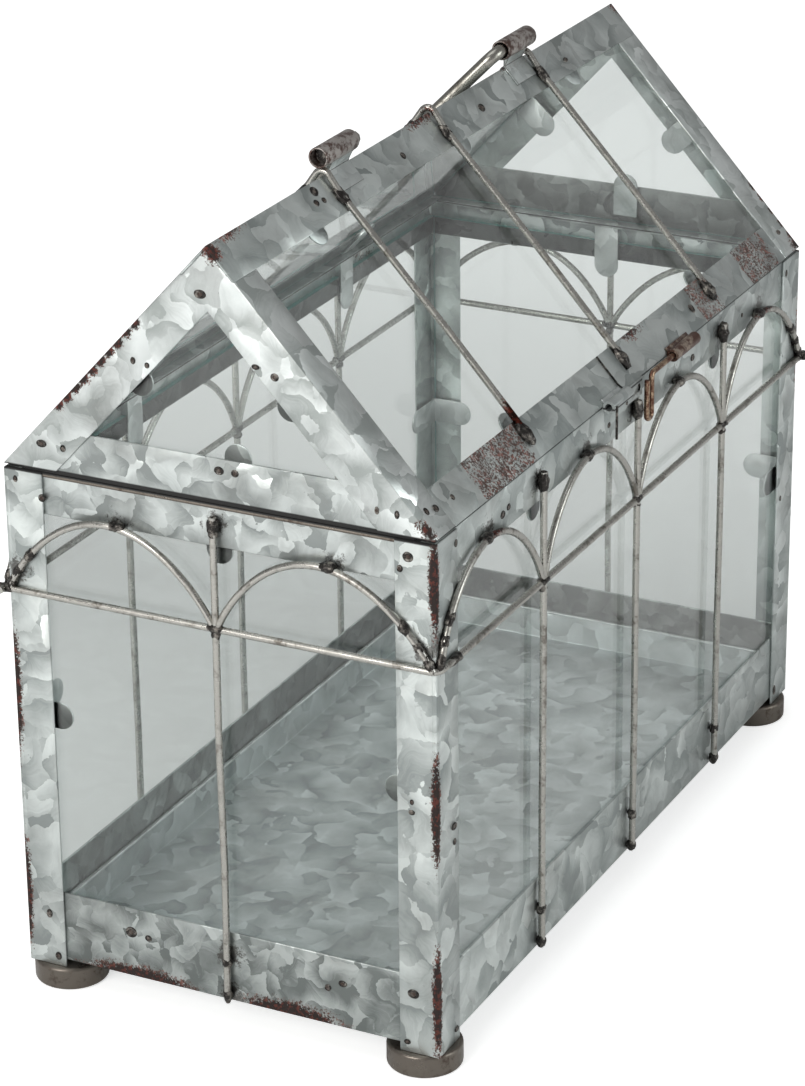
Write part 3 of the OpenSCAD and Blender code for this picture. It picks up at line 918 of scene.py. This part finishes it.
@dataclass(frozen=True)
class Glass:
    """Clear sheet glass that lets shadows through."""

    name: str
    tint: Point
    roughness: float = 0.0
    shade: float = 0.05
    clear: float = 1.0

    def make(self) -> bpy.types.Material:
        """Builds the material.

        Returns:
            The material.
        """
        material, sheet, shader = surface(self.name)
        shader.inputs["Base Color"].default_value = (*self.tint, 1)
        shader.inputs["Metallic"].default_value = 0.0
        shader.inputs["Roughness"].default_value = self.roughness
        shader.inputs["Transmission Weight"].default_value = self.clear
        shader.inputs["IOR"].default_value = 1.45
        shadow = sheet.add("ShaderNodeLightPath").outputs["Is Shadow Ray"]
        lit = sheet.maths("MULTIPLY", shadow, 1 - self.shade)
        sheet.feed(shader.inputs["Alpha"], sheet.maths("SUBTRACT", 1.0, lit))
        return material


class Finishes:
    """Every material of the house, built once."""

    def __init__(self, house: House) -> None:
        """Builds the finishes.

        Args:
            house: the sizes that the finishes follow.
        """
        effects = Effects(house)
        self.zinc = ZincSheet("zinc_sheet", size=11, contrast=1.05, tilt=0.26).make(effects)
        # Darker copy of the zinc for the gable ends' bottom rails: painted shade.
        self.shaded_rail_zinc = ZincSheet(
            "zinc_rail_painted_shade", size=8, contrast=1.3, tilt=0.22, dark=(0.18, 0.2, 0.195), light=(0.48, 0.515, 0.505)
        ).make(effects)
        # Darker copy of the zinc for the gable ends' top and gable rails: painted shade.
        self.shaded_gable_zinc = ZincSheet(
            "zinc_gable_painted_shade", size=9, contrast=1.15, tilt=0.22, dark=(0.28, 0.305, 0.3), light=(0.6, 0.64, 0.63)
        ).make(effects)
        # Lighter copy of the zinc for the rakes: painted light.
        self.lit_rake_zinc = ZincSheet(
            "zinc_rake_painted_light", size=10, contrast=1.1, tilt=0.26, dark=(0.38, 0.41, 0.4), light=(0.78, 0.82, 0.81)
        ).make(effects)
        # Darker, flatter copy of the zinc for the tray floor inside the glass: painted shade.
        self.shaded_floor_zinc = ZincSheet(
            "zinc_floor_painted_shade", size=10, contrast=0.8, tilt=0.1, rust=0.0, dark=(0.25, 0.28, 0.28),
            light=(0.56, 0.61, 0.61),
        ).make(effects)
        self.clip = ZincSheet(
            "zinc_clip", size=9, contrast=0.6, rust=0.2, dark=(0.36, 0.39, 0.385), light=(0.76, 0.8, 0.79)
        ).make(effects)
        self.wire = Blotched(
            "tinned_wire", (0.44, 0.43, 0.40), (0.18, 0.165, 0.145), scale=150, share=0.38, metallic=1.0,
            roughness=0.26, rust=1.0,
        ).make(effects)
        self.handle = Blotched(
            "handle_wire", (0.33, 0.32, 0.29), (0.15, 0.14, 0.12), scale=120, share=0.42, metallic=1.0,
            roughness=0.28,
        ).make(effects)
        self.solder = Blotched(
            "burnt_solder", (0.035, 0.032, 0.03), (0.27, 0.25, 0.225), scale=420, share=0.42, metallic=0.8,
            roughness=0.3, depth=0.25,
        ).make(effects)
        self.spot_centre = Blotched(
            "spot_centre", (0.15, 0.13, 0.115), (0.06, 0.04, 0.033), scale=500, share=0.5, metallic=0.5,
            roughness=0.4,
        ).make(effects)
        self.rusty = Blotched(
            "rusty_fitting", (0.085, 0.04, 0.028), (0.33, 0.27, 0.22), scale=330, share=0.42, metallic=0.6,
            roughness=0.36, depth=0.15,
        ).make(effects)
        self.tube = Blotched(
            "browned_tube", (0.10, 0.06, 0.05), (0.40, 0.37, 0.35), scale=300, share=0.52, metallic=0.7,
            roughness=0.36, depth=0.15,
        ).make(effects)
        self.foot = Blotched(
            "foot_metal", (0.165, 0.145, 0.125), (0.075, 0.054, 0.043), scale=110, share=0.38, metallic=0.85,
            roughness=0.33, depth=0.1, rust=0.8,
        ).make(effects)
        self.loop = Blotched(
            "latch_metal", (0.40, 0.29, 0.2), (0.11, 0.045, 0.03), scale=260, share=0.5, metallic=0.85,
            roughness=0.3, depth=0.12,
        ).make(effects)
        self.glass = Glass("window_glass", (0.905, 0.93, 0.922)).make()
        self.glass_edge = Glass("glass_edge", (0.06, 0.25, 0.225), roughness=0.3, shade=0.6, clear=0.3).make()


# ---------------------------------------------------------------- pieces


def place_piece(piece: bpy.types.Object, body: Body, slot: str, *nodes: str) -> bpy.types.Object:
    """Sets what a piece rides on and hides the frame's nodes that it stands for.

    Args:
        piece: the piece.
        body: what it moves with.
        slot: not used.
        nodes: the frame's nodes that it replaces.

    Returns:
        The piece.
    """
    if nodes:
        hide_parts(*nodes)
    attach(piece, body.value)
    log.info("piece %s on %s: %d faces", piece.name, body.value, len(piece.data.polygons))
    return piece


def wear(piece: bpy.types.Object, *materials: bpy.types.Material) -> bpy.types.Object:
    """Gives a piece its materials.

    Args:
        piece: the piece.
        materials: its materials in order.

    Returns:
        The piece.
    """
    piece.data.materials.clear()
    for material in materials:
        piece.data.materials.append(material)
    return piece


@dataclass
class SheetWork:
    """Folded sheet: posts, rails, tray, roof strips, clips and fittings."""

    finishes: Finishes
    edge: float = 0.3
    bead: float = 2.5
    inset: float = 1.1
    base: tuple[str, ...] = (
        "post_front_left", "post_front_right", "post_rear_left", "post_rear_right",
        "top_rail_front", "top_rail_rear", "top_rail_left", "top_rail_right",
        "bottom_rail_front", "bottom_rail_rear", "bottom_rail_left", "bottom_rail_right",
        "hinge_base",
    )
    roof: tuple[str, ...] = (
        "ridge_cap", "rake_left", "rake_right", "eave_front", "eave_rear",
        "gable_rail_left", "gable_rail_right", "hinge_roof",
    )

    def build(self) -> None:
        """Eases and dresses every folded piece."""
        for body, nodes in ((Body.BASE, self.base), (Body.ROOF, self.roof)):
            for node in nodes:
                self.fold(node, body, self.finish_of(node), "galvanised_sheet", self.edge)
        self.fold("floor_tray", Body.BASE, self.finishes.shaded_floor_zinc, "galvanised_sheet", self.edge)
        self.hem()
        self.lips()
        self.beads()
        self.fold("wall_clips", Body.BASE, self.finishes.clip, "clip", 0.15)
        self.fold("roof_clips", Body.ROOF, self.finishes.clip, "clip", 0.15)

    def finish_of(self, node: str) -> bpy.types.Material:
        """Picks a strip's sheet: the rakes wear a lighter copy of the zinc as painted light, the gable ends'
        rails darker copies as painted shade.

        Args:
            node: the frame's name for the strip.

        Returns:
            Its finish.
        """
        kind, _, end = node.rpartition("_")
        if kind == "rake":
            return self.finishes.lit_rake_zinc
        if end in ("left", "right") and kind in ("top_rail", "gable_rail"):
            return self.finishes.shaded_gable_zinc
        if end in ("left", "right") and kind == "bottom_rail":
            return self.finishes.shaded_rail_zinc
        return self.finishes.zinc

    def hem(self) -> None:
        """Rolls the tray's upper rim inwards."""
        _, high = (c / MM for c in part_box("floor_tray"))
        x, y, z = high.x - 1.1, high.y - 1.1, high.z - 0.45
        turns = ((0, -1), (1, -1), (1, 1), (-1, 1), (-1, -1), (-0.001, -1))
        ring = [Vector((sx * x, sy * y, z)) for sx, sy in turns]
        ring[0].y = ring[-1].y = -y
        hem = Bench.wire("tray_hem", filleted(ring, 1.0, 4), 1.0)
        place_piece(wear(hem, self.finishes.clip), Body.BASE, "galvanised_sheet")

    def lips(self) -> None:
        """Rolls the gable top rails' upper edges outwards, under the roof's seam."""
        for side in ("left", "right"):
            low, high = (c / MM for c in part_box(f"top_rail_{side}"))
            x = low.x + 0.35 if side == "left" else high.x - 0.35
            run = [Vector((x, y, high.z - 1.0)) for y in (low.y + 0.5, low.y / 2, high.y / 2, high.y - 0.5)]
            lip = Bench.wire(f"top_rail_{side}_lip", run, 1.3)
            place_piece(wear(lip, self.finishes.foot), Body.BASE, "galvanised_sheet")

    def beads(self) -> None:
        """Rounds the posts' folded corners with a slim bead."""
        folds = []
        for end in ("front_left", "front_right", "rear_left", "rear_right"):
            low, high = (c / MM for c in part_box(f"post_{end}"))
            x = low.x + self.inset if "left" in end else high.x - self.inset
            y = low.y + self.inset if "front" in end else high.y - self.inset
            run = [Vector((x, y, z)) for z in (low.z + 0.3, (low.z + high.z) / 2, high.z - 0.3)]
            folds.append(Bench.wire("bead", run, self.bead))
        beads = Bench.join("corner_beads", folds)
        place_piece(wear(beads, self.finishes.zinc), Body.BASE, "galvanised_sheet")

    def fold(self, node: str, body: Body, finish: bpy.types.Material, slot: str, edge: float) -> None:
        """Makes one folded piece from its node.

        Args:
            node: the frame's name for it.
            body: what it moves with.
            finish: its material.
            slot: the material slot it wears.
            edge: how far its edges are eased, in millimetres.
        """
        piece = Bench.copy_of(node, f"{node}_sheet")
        Bench.ease(piece, edge)
        place_piece(wear(piece, finish), body, slot, node)


@dataclass
class Glazing:
    """The panes, with green cut edges."""

    finishes: Finishes
    panes: tuple[tuple[str, Body], ...] = (
        ("pane_front", Body.BASE), ("pane_rear", Body.BASE), ("pane_left", Body.BASE),
        ("pane_right", Body.BASE), ("slope_pane_front", Body.ROOF), ("slope_pane_rear", Body.ROOF),
        ("gable_pane_left", Body.ROOF), ("gable_pane_right", Body.ROOF),
    )

    def build(self) -> None:
        """Copies every pane and marks its narrow faces as cut edges."""
        for node, body in self.panes:
            piece = Bench.copy_of(node, f"{node}_glass")
            wear(piece, self.finishes.glass, self.finishes.glass_edge)
            widest = max(face.area for face in piece.data.polygons)
            for face in piece.data.polygons:
                face.material_index = 0 if face.area > widest * 0.5 else 1
            place_piece(piece, body, "glass", node)


@dataclass
class Tracery:
    """The wires on one wall with their solder."""

    house: House
    finishes: Finishes
    side: Side
    bays: int
    half: float
    d: float = 2.4
    belt: float = 144.5
    rise: float = 31.0
    lean: float = -1.5
    corner: float = 3.2
    stub: float = 3.2
    wires: list[bpy.types.Object] = field(default_factory=list)
    lumps: list[bpy.types.Object] = field(default_factory=list)

    def at(self, u: float, z: float, out: float | None = None) -> Vector:
        """A place on this wall's wires."""
        return self.house.on_wall(self.side, u, z, self.d / 2 if out is None else out)

    def build(self) -> None:
        """Bends the wires, solders them and dresses both."""
        h = self.house
        bay = 2 * self.half / self.bays
        verticals = [-self.half + bay * i for i in range(1, self.bays)]
        out = self.d / 2
        if self.side in (Side.FRONT, Side.REAR):
            # the belt runs round its left corner and ends in a stub past the right one
            around = self.at(-self.half - out, self.belt)
            other = Side.LEFT if self.side is Side.FRONT else Side.RIGHT
            half = h.half_y
            end = h.on_wall(other, half - 6, self.belt, out)
            corners = [self.at(self.half + out + self.stub, self.belt), around, end]
        else:
            corners = [self.at(self.half - 6, self.belt), self.at(-self.half - out - self.stub, self.belt)]
        self.wires.append(Bench.wire("belt", filleted(corners, self.corner), self.d))
        along = self.at(1, 0) - self.at(0, 0)
        for i, u in enumerate(verticals):
            under_tongue = self.side is Side.FRONT and abs(u) < 1
            low, top = h.bottom_rail_low + 1.2, h.wall_top - (5.8 if under_tongue else 3.6)
            sway = 0.5 * math.sin(3.1 * i + self.bays)
            path = ((u, low), (u + sway, 60), (u - sway * 0.4, 110), (u, self.belt), (u, top))
            run = [self.at(*place) for place in path]
            self.wires.append(Bench.wire("vertical", run, self.d))
            self.solder(u, top - 3.4, (2.0, 1.9, 4.0), i)
            self.solder(u, low + 1.4, (1.9, 1.7, 2.4), i + 7)
            self.solder(u, h.bottom_rail_top - 10.4, (1.8, 1.6, 2.3), i + 11)
            self.lumps.append(Bench.lump(self.at(u, self.belt + 0.3), (1.75, 1.65, 3.3), along, i + 17))
            self.solder(u, self.belt - 2.0, (1.5, 1.45, 1.7), i + 19)
        long_wall = self.side in (Side.FRONT, Side.REAR)
        feet = [-self.half, *verticals, self.half]
        for i, (u0, u1) in enumerate(zip(feet, feet[1:])):
            lean = self.lean + 0.9 * math.sin(2.3 * i + self.bays)
            rise = self.rise + 0.5 * math.sin(1.7 * i + 1) - (0.6 if long_wall else 3.2)
            points = arc(u0 + 0.5, u1 - 0.5, self.belt, rise, lean, 0.4 if long_wall else 0.65)
            self.wires.append(Bench.wire("arch", [self.at(u, z) for u, z in points], self.d))
            apex = (u0 + u1) / 2 + lean + (-1.5 if long_wall else 4.0)
            crown = self.at(apex, self.belt + rise + 0.2, 0.8)
            self.lumps.append(Bench.lump(crown, (2.2, 1.8, 3.0), along, 31 + i))
            if i == 0:
                self.foot_solder(points[:8], i)
            if i == len(feet) - 2:
                self.foot_solder(points[:-9:-1], i + 5)
        sleeve = {Side.FRONT: (-self.half + 11.0, self.half + out), Side.LEFT: (-self.half - out,)}
        for u in sleeve.get(self.side, (self.half - 9.0, -self.half - out)):
            self.lumps.append(Bench.lump(self.at(u, self.belt), (1.6, 1.55, 4.4), along, 51 + int(u)))
        name = f"tracery_{self.side.value}"
        place_piece(wear(Bench.join(f"{name}_wire", self.wires), self.finishes.wire), Body.BASE, "wire", name)
        place_piece(wear(Bench.join(f"{name}_solder", self.lumps), self.finishes.solder), Body.BASE, "wire")

    def foot_solder(self, points: list[tuple[float, float]], seed: int) -> None:
        """Adds the run of solder up an arch's outer foot.

        Args:
            points: the arch's points from the foot upwards.
            seed: what makes it differ from the others.
        """
        places = [self.at(u, z, self.d / 2 * 0.85) for u, z in points]
        for i, thick in ((1, 1.55), (3, 1.6), (5, 1.75)):
            up = places[i + 1] - places[i - 1]
            self.lumps.append(Bench.lump(places[i], (thick, thick * 0.95, 3.4), up, seed + 41 + i))

    def solder(self, u: float, z: float, size: Point, seed: int) -> None:
        """Adds one upright lump on a vertical."""
        self.lumps.append(Bench.lump(self.at(u, z, self.d / 2 - 0.2), size, None, seed))


@dataclass
class RibWires:
    """Three wires bent over the ridge."""

    house: House
    finishes: Finishes
    d: float = 2.4
    foot: float = 5.6
    hump: float = 1.6
    bend: float = 2.6

    def build(self) -> None:
        """Bends, solders and dresses each rib."""
        for name in ("left", "middle", "right"):
            low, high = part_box(f"rib_wire_{name}")
            self.rib(name, (low.x + high.x) / 2 / MM)

    def rib(self, name: str, x: float) -> None:
        """Makes one rib with its four lumps of solder.

        Args:
            name: left, middle or right.
            x: where it crosses the ridge, in millimetres.
        """
        h, out = self.house, self.d / 2
        top = Vector((x, 0, h.ridge_z + self.hump + self.bend * (1 / math.cos(h.slope + 0.14) - 1)))
        corners = [
            h.on_roof(x, self.foot, out),
            h.on_roof(x + 0.4, 50, out + 0.15),
            h.on_roof(x, h.slope_len - 7, out),
            top,
            h.on_roof(x, h.slope_len - 7, out, True),
            h.on_roof(x - 0.5, 55, out + 0.15, True),
            h.on_roof(x, self.foot, out, True),
        ]
        wire = Bench.wire(f"rib_wire_{name}_bent", filleted(corners, self.bend), self.d)
        place_piece(wear(wire, self.finishes.wire), Body.ROOF, "wire", f"rib_wire_{name}")
        lumps = []
        joints = ((self.foot + 3.2, (2.3, 1.9, 4.6)), (h.slope_len - 9.0, (2.0, 1.7, 4.0)))
        for rear in (False, True):
            up = h.on_roof(x, 1, 0, rear) - h.on_roof(x, 0, 0, rear)
            for i, (where, size) in enumerate(joints):
                lumps.append(Bench.lump(h.on_roof(x, where, out * 0.75, rear), size, up, 61 + i + int(x)))
        place_piece(wear(Bench.join(f"rib_{name}_solder", lumps), self.finishes.solder), Body.ROOF, "wire")


@dataclass
class SpotMarks:
    """Burnt spot marks where the sheets and clips are tacked together."""

    house: House
    finishes: Finishes
    r: float = 1.35

    def build(self) -> None:
        """Makes the marks on the walls and on the roof."""
        self.on_base()
        self.on_roof()

    def on_base(self) -> None:
        """Marks on the posts and rails."""
        gable = [
            (66.9, 180.8), (64.1, 176.5), (67.4, 97.9), (67.3, 94.3), (67.2, 29.6), (64.9, 11.6),
            (-72.0, 182.5), (-62.4, 177.5), (-67.8, 27.1), (-65.1, 11.6),
        ]
        rail = [(-36.9, 26.9), (-30.4, 26.1), (36.1, 23.9), (41.5, 26.6)]
        front = [
            (-138.3, 181.6), (-140.6, 86.0), (-140.3, 80.4), (-139.6, 12.4), (139.4, 181.0), (140.2, 92.0),
            (139.8, 13.0),
        ]
        front_rail = [(-102.9, 177.4), (-98.6, 178.4), (-20.0, 178.0), (52.0, 177.6), (98.0, 178.2)]
        spots = []
        for side in (Side.LEFT, Side.RIGHT):
            for u, z in gable:
                spots += self.spot(side, u, z, 0.0)
            for u, z in rail:
                spots += self.spot(side, u, z, -self.house.sheet)
        for side in (Side.FRONT, Side.REAR):
            for u, z in front:
                spots += self.spot(side, u, z, 0.0)
            for u, z in front_rail:
                spots += self.spot(side, u, z, -self.house.sheet)
        place_piece(Bench.join("wall_spot_marks", spots), Body.BASE, "wire")

    def mark(self, at: Vector, out: Vector, seed: float) -> list[bpy.types.Object]:
        """One dressed mark.

        Args:
            at: its middle on the face, in millimetres.
            out: the face's outward direction.
            seed: what makes its size and shape differ.

        Returns:
            Its ring and its centre.
        """
        ring, centre = Bench.mark(at, out, self.r * (1 + 0.2 * math.sin(seed * 1.7)), int(seed * 3))
        return [wear(ring, self.finishes.solder), wear(centre, self.finishes.spot_centre)]

    def spot(self, side: Side, u: float, z: float, depth: float) -> list[bpy.types.Object]:
        """One mark on a wall."""
        out = self.house.on_wall(side, 0, 0, 1) - self.house.on_wall(side, 0, 0)
        return self.mark(self.house.on_wall(side, u, z, depth), out, u + z)

    def on_roof(self) -> None:
        """Marks on the gables and slopes."""
        h = self.house
        gable = [
            (-61.6, 196.2), (-53.7, 195.8), (-26.9, 229.4), (-21.9, 228.6), (16.1, 234.0), (22.6, 231.7),
            (56.6, 194.2), (63.4, 194.0), (-2.4, 254.6),
        ]
        spots = []
        for sign in (-1, 1):
            out = Vector((sign, 0, 0))
            for u, z in gable:
                spots += self.mark(Vector((sign * h.half_x, -u, z)), out, u + z)
            for y in (-1.8, -7.4):
                spots += self.mark(Vector((sign * (h.half_x - h.sheet), y, 197.5)), out, y)
        cap = h.slope_len
        places = [
            (-86, cap - 3), (-89, cap - 6.5), (-84.5, cap - 7), (-146, 9), (-141, 8), (146, 9),
            (68, cap - 5.5), (62, cap - 5.5), (-66, cap - 5.5), (-130, 7.5), (60, 7), (98, cap - 9),
            (30, cap - 8), (-30, cap - 8),
        ]
        for rear in (False, True):
            up = h.on_roof(0, 0, 1, rear) - h.on_roof(0, 0, 0, rear)
            for x, where in places:
                spots += self.mark(h.on_roof(x, where, 0, rear), up, x + where)
        place_piece(Bench.join("roof_spot_marks", spots), Body.ROOF, "wire")


@dataclass
class Feet:
    """Four turned feet with a worn upper edge."""

    house: House
    finishes: Finishes

    def build(self) -> None:
        """Turns one foot and copies it under each post."""
        low, high = (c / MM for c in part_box("feet"))
        r = (low.y + self.house.half_y) * -1 + 10.0
        height = high.z
        feet = []
        for sx in (-1, 1):
            for sy in (-1, 1):
                Bench.clear()
                bpy.ops.mesh.primitive_cylinder_add(
                    vertices=72, radius=r * MM, depth=height * MM,
                    location=(sx * (high.x - r) * MM, sy * (high.y - r) * MM, height / 2 * MM),
                )
                foot = Bench.settle(bpy.context.active_object, "foot")
                Bench.ease(foot, 1.1, 4)
                feet.append(foot)
        place_piece(wear(Bench.join("turned_feet", feet), self.finishes.foot), Body.BASE, "feet", "feet")


@dataclass
class Handle:
    """The bail and the two tubes that carry it."""

    house: House
    finishes: Finishes
    d: float = 4.8
    bend: float = 5.5
    corner: float = 12.0
    lean: float = 13.0
    reach: float = 66.0
    tube_from: float = 57.0
    past_tube: float = 19.0
    strap_drop: float = 4.4

    def build(self) -> None:
        """Bends the bail and dresses its tubes."""
        low, high = (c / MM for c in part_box("handle"))
        z = self.house.axis_z
        down = math.atan2(z - (low.z + self.d / 2), high.y - self.d / 2)
        end = self.tube_from + self.past_tube
        arm_start = self.tube_from - 1.2 - 3.6
        arm_end = arm_start - self.reach * math.tan(math.radians(self.lean))

        def flat(x: float, along: float) -> Vector:
            """A place in the bail's plane, in millimetres."""
            return Vector((x, along * math.cos(down), z - along * math.sin(down)))

        half = [(end, 0), (arm_start, 0), (arm_end, self.reach)]
        corners = [flat(-x, along) for x, along in half] + [flat(*place) for place in reversed(half)]
        grip = filleted(corners[1:5], self.corner, 12)[1:-1]
        path = filleted(corners[:3], self.bend)[:-1] + grip + filleted(corners[3:], self.bend)[1:]
        bail = wear(Bench.wire("bail_handle", path, self.d), self.finishes.handle, self.finishes.solder)
        # The bail's last 6 mm at each end, inside the tubes, wear the dark solder as painted shade deep in
        # the tubes.
        for face in bail.data.polygons:
            face.material_index = int(abs(face.center.x) / MM > end - 6)
        place_piece(bail, Body.HANDLE, "handle", "handle")
        tubes = Bench.copy_of("handle_tubes", "rolled_tubes")
        wear(tubes, self.finishes.tube, self.finishes.clip, self.finishes.solder)
        for face in tubes.data.polygons:
            face.material_index = int(face.center.z / MM < z - self.strap_drop)
        Bench.ease(tubes, 0.18, 2, 2)
        place_piece(tubes, Body.ROOF, "rusted_tube", "handle_tubes")


@dataclass
class Latch:
    """The hasp plate, its barrels and the hanging wire loop."""

    house: House
    finishes: Finishes
    d: float = 2.0
    loop_width: float = 3.6
    loop_bend: float = 1.75
    plate_edge: float = 0.38
    tail_below: float = 2.6

    def build(self) -> None:
        """Makes the latch's pieces."""
        plate = Bench.copy_of("hasp_plate", "hasp_sheet")
        wear(plate, self.finishes.zinc, self.finishes.solder)
        for face in plate.data.polygons:
            face.material_index = int(abs(face.normal.x) > 0.5)
        Bench.ease(plate, self.plate_edge, 1, 1)
        place_piece(plate, Body.ROOF, "galvanised_sheet", "hasp_plate")
        barrels = Bench.copy_of("latch_barrels", "barrel_pair")
        wear(barrels, self.finishes.clip, self.finishes.rusty, self.finishes.solder)
        for face in barrels.data.polygons:
            tail = face.center.z / MM < self.house.eave_z - self.tail_below
            face.material_index = 2 if tail else int(face.center.x > 0)
        Bench.ease(barrels, 0.2, 1, 2)
        place_piece(barrels, Body.ROOF, "rusted_latch", "latch_barrels")
        low, high = (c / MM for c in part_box("latch_loop"))
        y, z = -self.house.latch_y, self.house.eave_z
        inner = low.x + self.d / 2
        outer = inner + self.loop_width
        drop = low.z + self.d / 2
        bends = ((high.x - 1, z), (outer, z), (outer + 0.2, drop), (inner - 0.2, drop), (inner, z - 1.5))
        corners = [Vector((x, y, up)) for x, up in bends]
        loop = Bench.wire("latch_wire", filleted(corners, self.loop_bend, 10), self.d)
        place_piece(wear(loop, self.finishes.loop), Body.LATCH, "rusted_latch", "latch_loop")


# ---------------------------------------------------------------- stage


@dataclass(frozen=True)
class Studio:
    """The floor, the lights and the camera."""

    azimuth: float = -63.311
    elevation: float = 23.121
    roll: float = -0.652
    eye: Point = (-1092.6, -537.8, 634.4)
    lens: float = 125.65

    def build(self) -> None:
        """Sets the stage."""
        self.floor()
        self.lamps()
        self.sky()
        self.camera()
        bpy.context.scene.view_settings.view_transform = "Standard"

    def floor(self) -> None:
        """A white floor that keeps the shadow, with painted light: through glass it glows more towards +X, in
        reflections more towards -X.
        """
        Bench.clear()
        bpy.ops.mesh.primitive_plane_add(size=30, location=(0, 0, -0.02 * MM))
        plane = bpy.context.active_object
        plane.name = "studio_floor"
        material, sheet, shader = surface("studio_floor")
        shader.inputs["Base Color"].default_value = (0.9, 0.9, 0.9, 1)
        shader.inputs["Roughness"].default_value = 0.9
        shader.inputs["Emission Color"].default_value = (1, 1, 1, 1)
        rays = sheet.add("ShaderNodeLightPath")
        place = sheet.add("ShaderNodeSeparateXYZ")
        sheet.feed(place.inputs[0], sheet.add("ShaderNodeTexCoord").outputs["Object"])
        # Painted light: seen through the glass the floor glows more towards +X, a painted falloff.
        painted_falloff_through_glass = sheet.steps(place.outputs[0], 0.1, 0.8, -0.06, 0.34)
        glow = sheet.maths("MULTIPLY", rays.outputs["Is Camera Ray"], 0.62)
        glow = sheet.maths("ADD", glow, sheet.maths("MULTIPLY", rays.outputs["Is Transmission Ray"], painted_falloff_through_glass))
        # Painted reflection: in glossy rays the floor glows more towards -X, as if lit there.
        painted_reflection_glow = sheet.steps(place.outputs[0], 0.2, -1.0, 0.0, 0.6)
        glow = sheet.maths("ADD", glow, sheet.maths("MULTIPLY", rays.outputs["Is Glossy Ray"], painted_reflection_glow))
        sheet.feed(shader.inputs["Emission Strength"], glow)
        wear(plane, material)

    def lamp(self, name: str, at: Point, size: float, watts: float, colour: Point) -> None:
        """One soft area light aimed at the house.

        Args:
            name: its name.
            at: its place in metres.
            size: its side in metres.
            watts: its power.
            colour: its colour.
        """
        Bench.clear()
        place = Vector(at)
        turn = (place - Vector((0, 0, 0.13))).to_track_quat("Z", "Y").to_euler()
        bpy.ops.object.light_add(type="AREA", location=place, rotation=turn)
        lamp = bpy.context.active_object
        lamp.name = name
        lamp.data.size = size
        lamp.data.energy = watts
        lamp.data.color = colour

    def lamps(self) -> None:
        """A broad key on the near gable, a weak fill on the front and a top light."""
        self.lamp("key", (-2.6, 0.5, 1.5), 1.6, 44, (1.0, 0.985, 0.955))
        self.lamp("fill", (0.3, -2.7, 0.9), 1.4, 22, (0.95, 1.0, 0.99))
        self.lamp("top", (-0.4, 0.6, 2.8), 1.8, 14, (0.97, 1.0, 1.0))

    def sky(self) -> None:
        """A pale world, white where it is seen directly or through glass."""
        world = bpy.data.worlds.new("studio")
        bpy.context.scene.world = world
        world.use_nodes = True
        sheet = Sheet(world.node_tree)
        back = world.node_tree.nodes["Background"]
        back.inputs["Color"].default_value = (1, 1, 1, 1)
        rays = sheet.add("ShaderNodeLightPath")
        glow = sheet.maths("ADD", 0.33, sheet.maths("MULTIPLY", rays.outputs["Is Camera Ray"], 0.67))
        glow = sheet.maths("ADD", glow, sheet.maths("MULTIPLY", rays.outputs["Is Transmission Ray"], 0.44))
        sheet.feed(back.inputs["Strength"], glow)

    def camera(self) -> None:
        """The camera at the viewing angle."""
        a, e, r = (math.radians(v) for v in (self.azimuth, self.elevation, self.roll))
        back = Vector((math.sin(a) * math.cos(e), -math.cos(a) * math.cos(e), math.sin(e)))
        right = Vector((math.cos(a), math.sin(a), 0))
        up = back.cross(right)
        across = right * math.cos(r) + up * math.sin(r)
        above = up * math.cos(r) - right * math.sin(r)
        Bench.clear()
        bpy.ops.object.camera_add(location=Vector(self.eye) * MM)
        camera = bpy.context.active_object
        camera.rotation_mode = "QUATERNION"
        camera.rotation_quaternion = Matrix((across, above, back)).transposed().to_quaternion()
        camera.data.lens = self.lens
        camera.data.sensor_width = 36
        camera.data.clip_start = 0.01
        bpy.context.scene.camera = camera


def main() -> None:
    """Builds every sub-assembly in order."""
    logging.basicConfig(level=logging.INFO, format="%(message)s")
    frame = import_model()
    house = House.from_frame(frame["record"])
    finishes = Finishes(house)
    SheetWork(finishes).build()
    Glazing(finishes).build()
    for side, bays, half in (
        (Side.FRONT, 4, house.half_x), (Side.REAR, 4, house.half_x),
        (Side.LEFT, 2, house.half_y), (Side.RIGHT, 2, house.half_y),
    ):
        Tracery(house, finishes, side, bays, half).build()
    RibWires(house, finishes).build()
    SpotMarks(house, finishes).build()
    Feet(house, finishes).build()
    Handle(house, finishes).build()
    Latch(house, finishes).build()
    Studio().build()


if __name__ == "__main__":
    main()
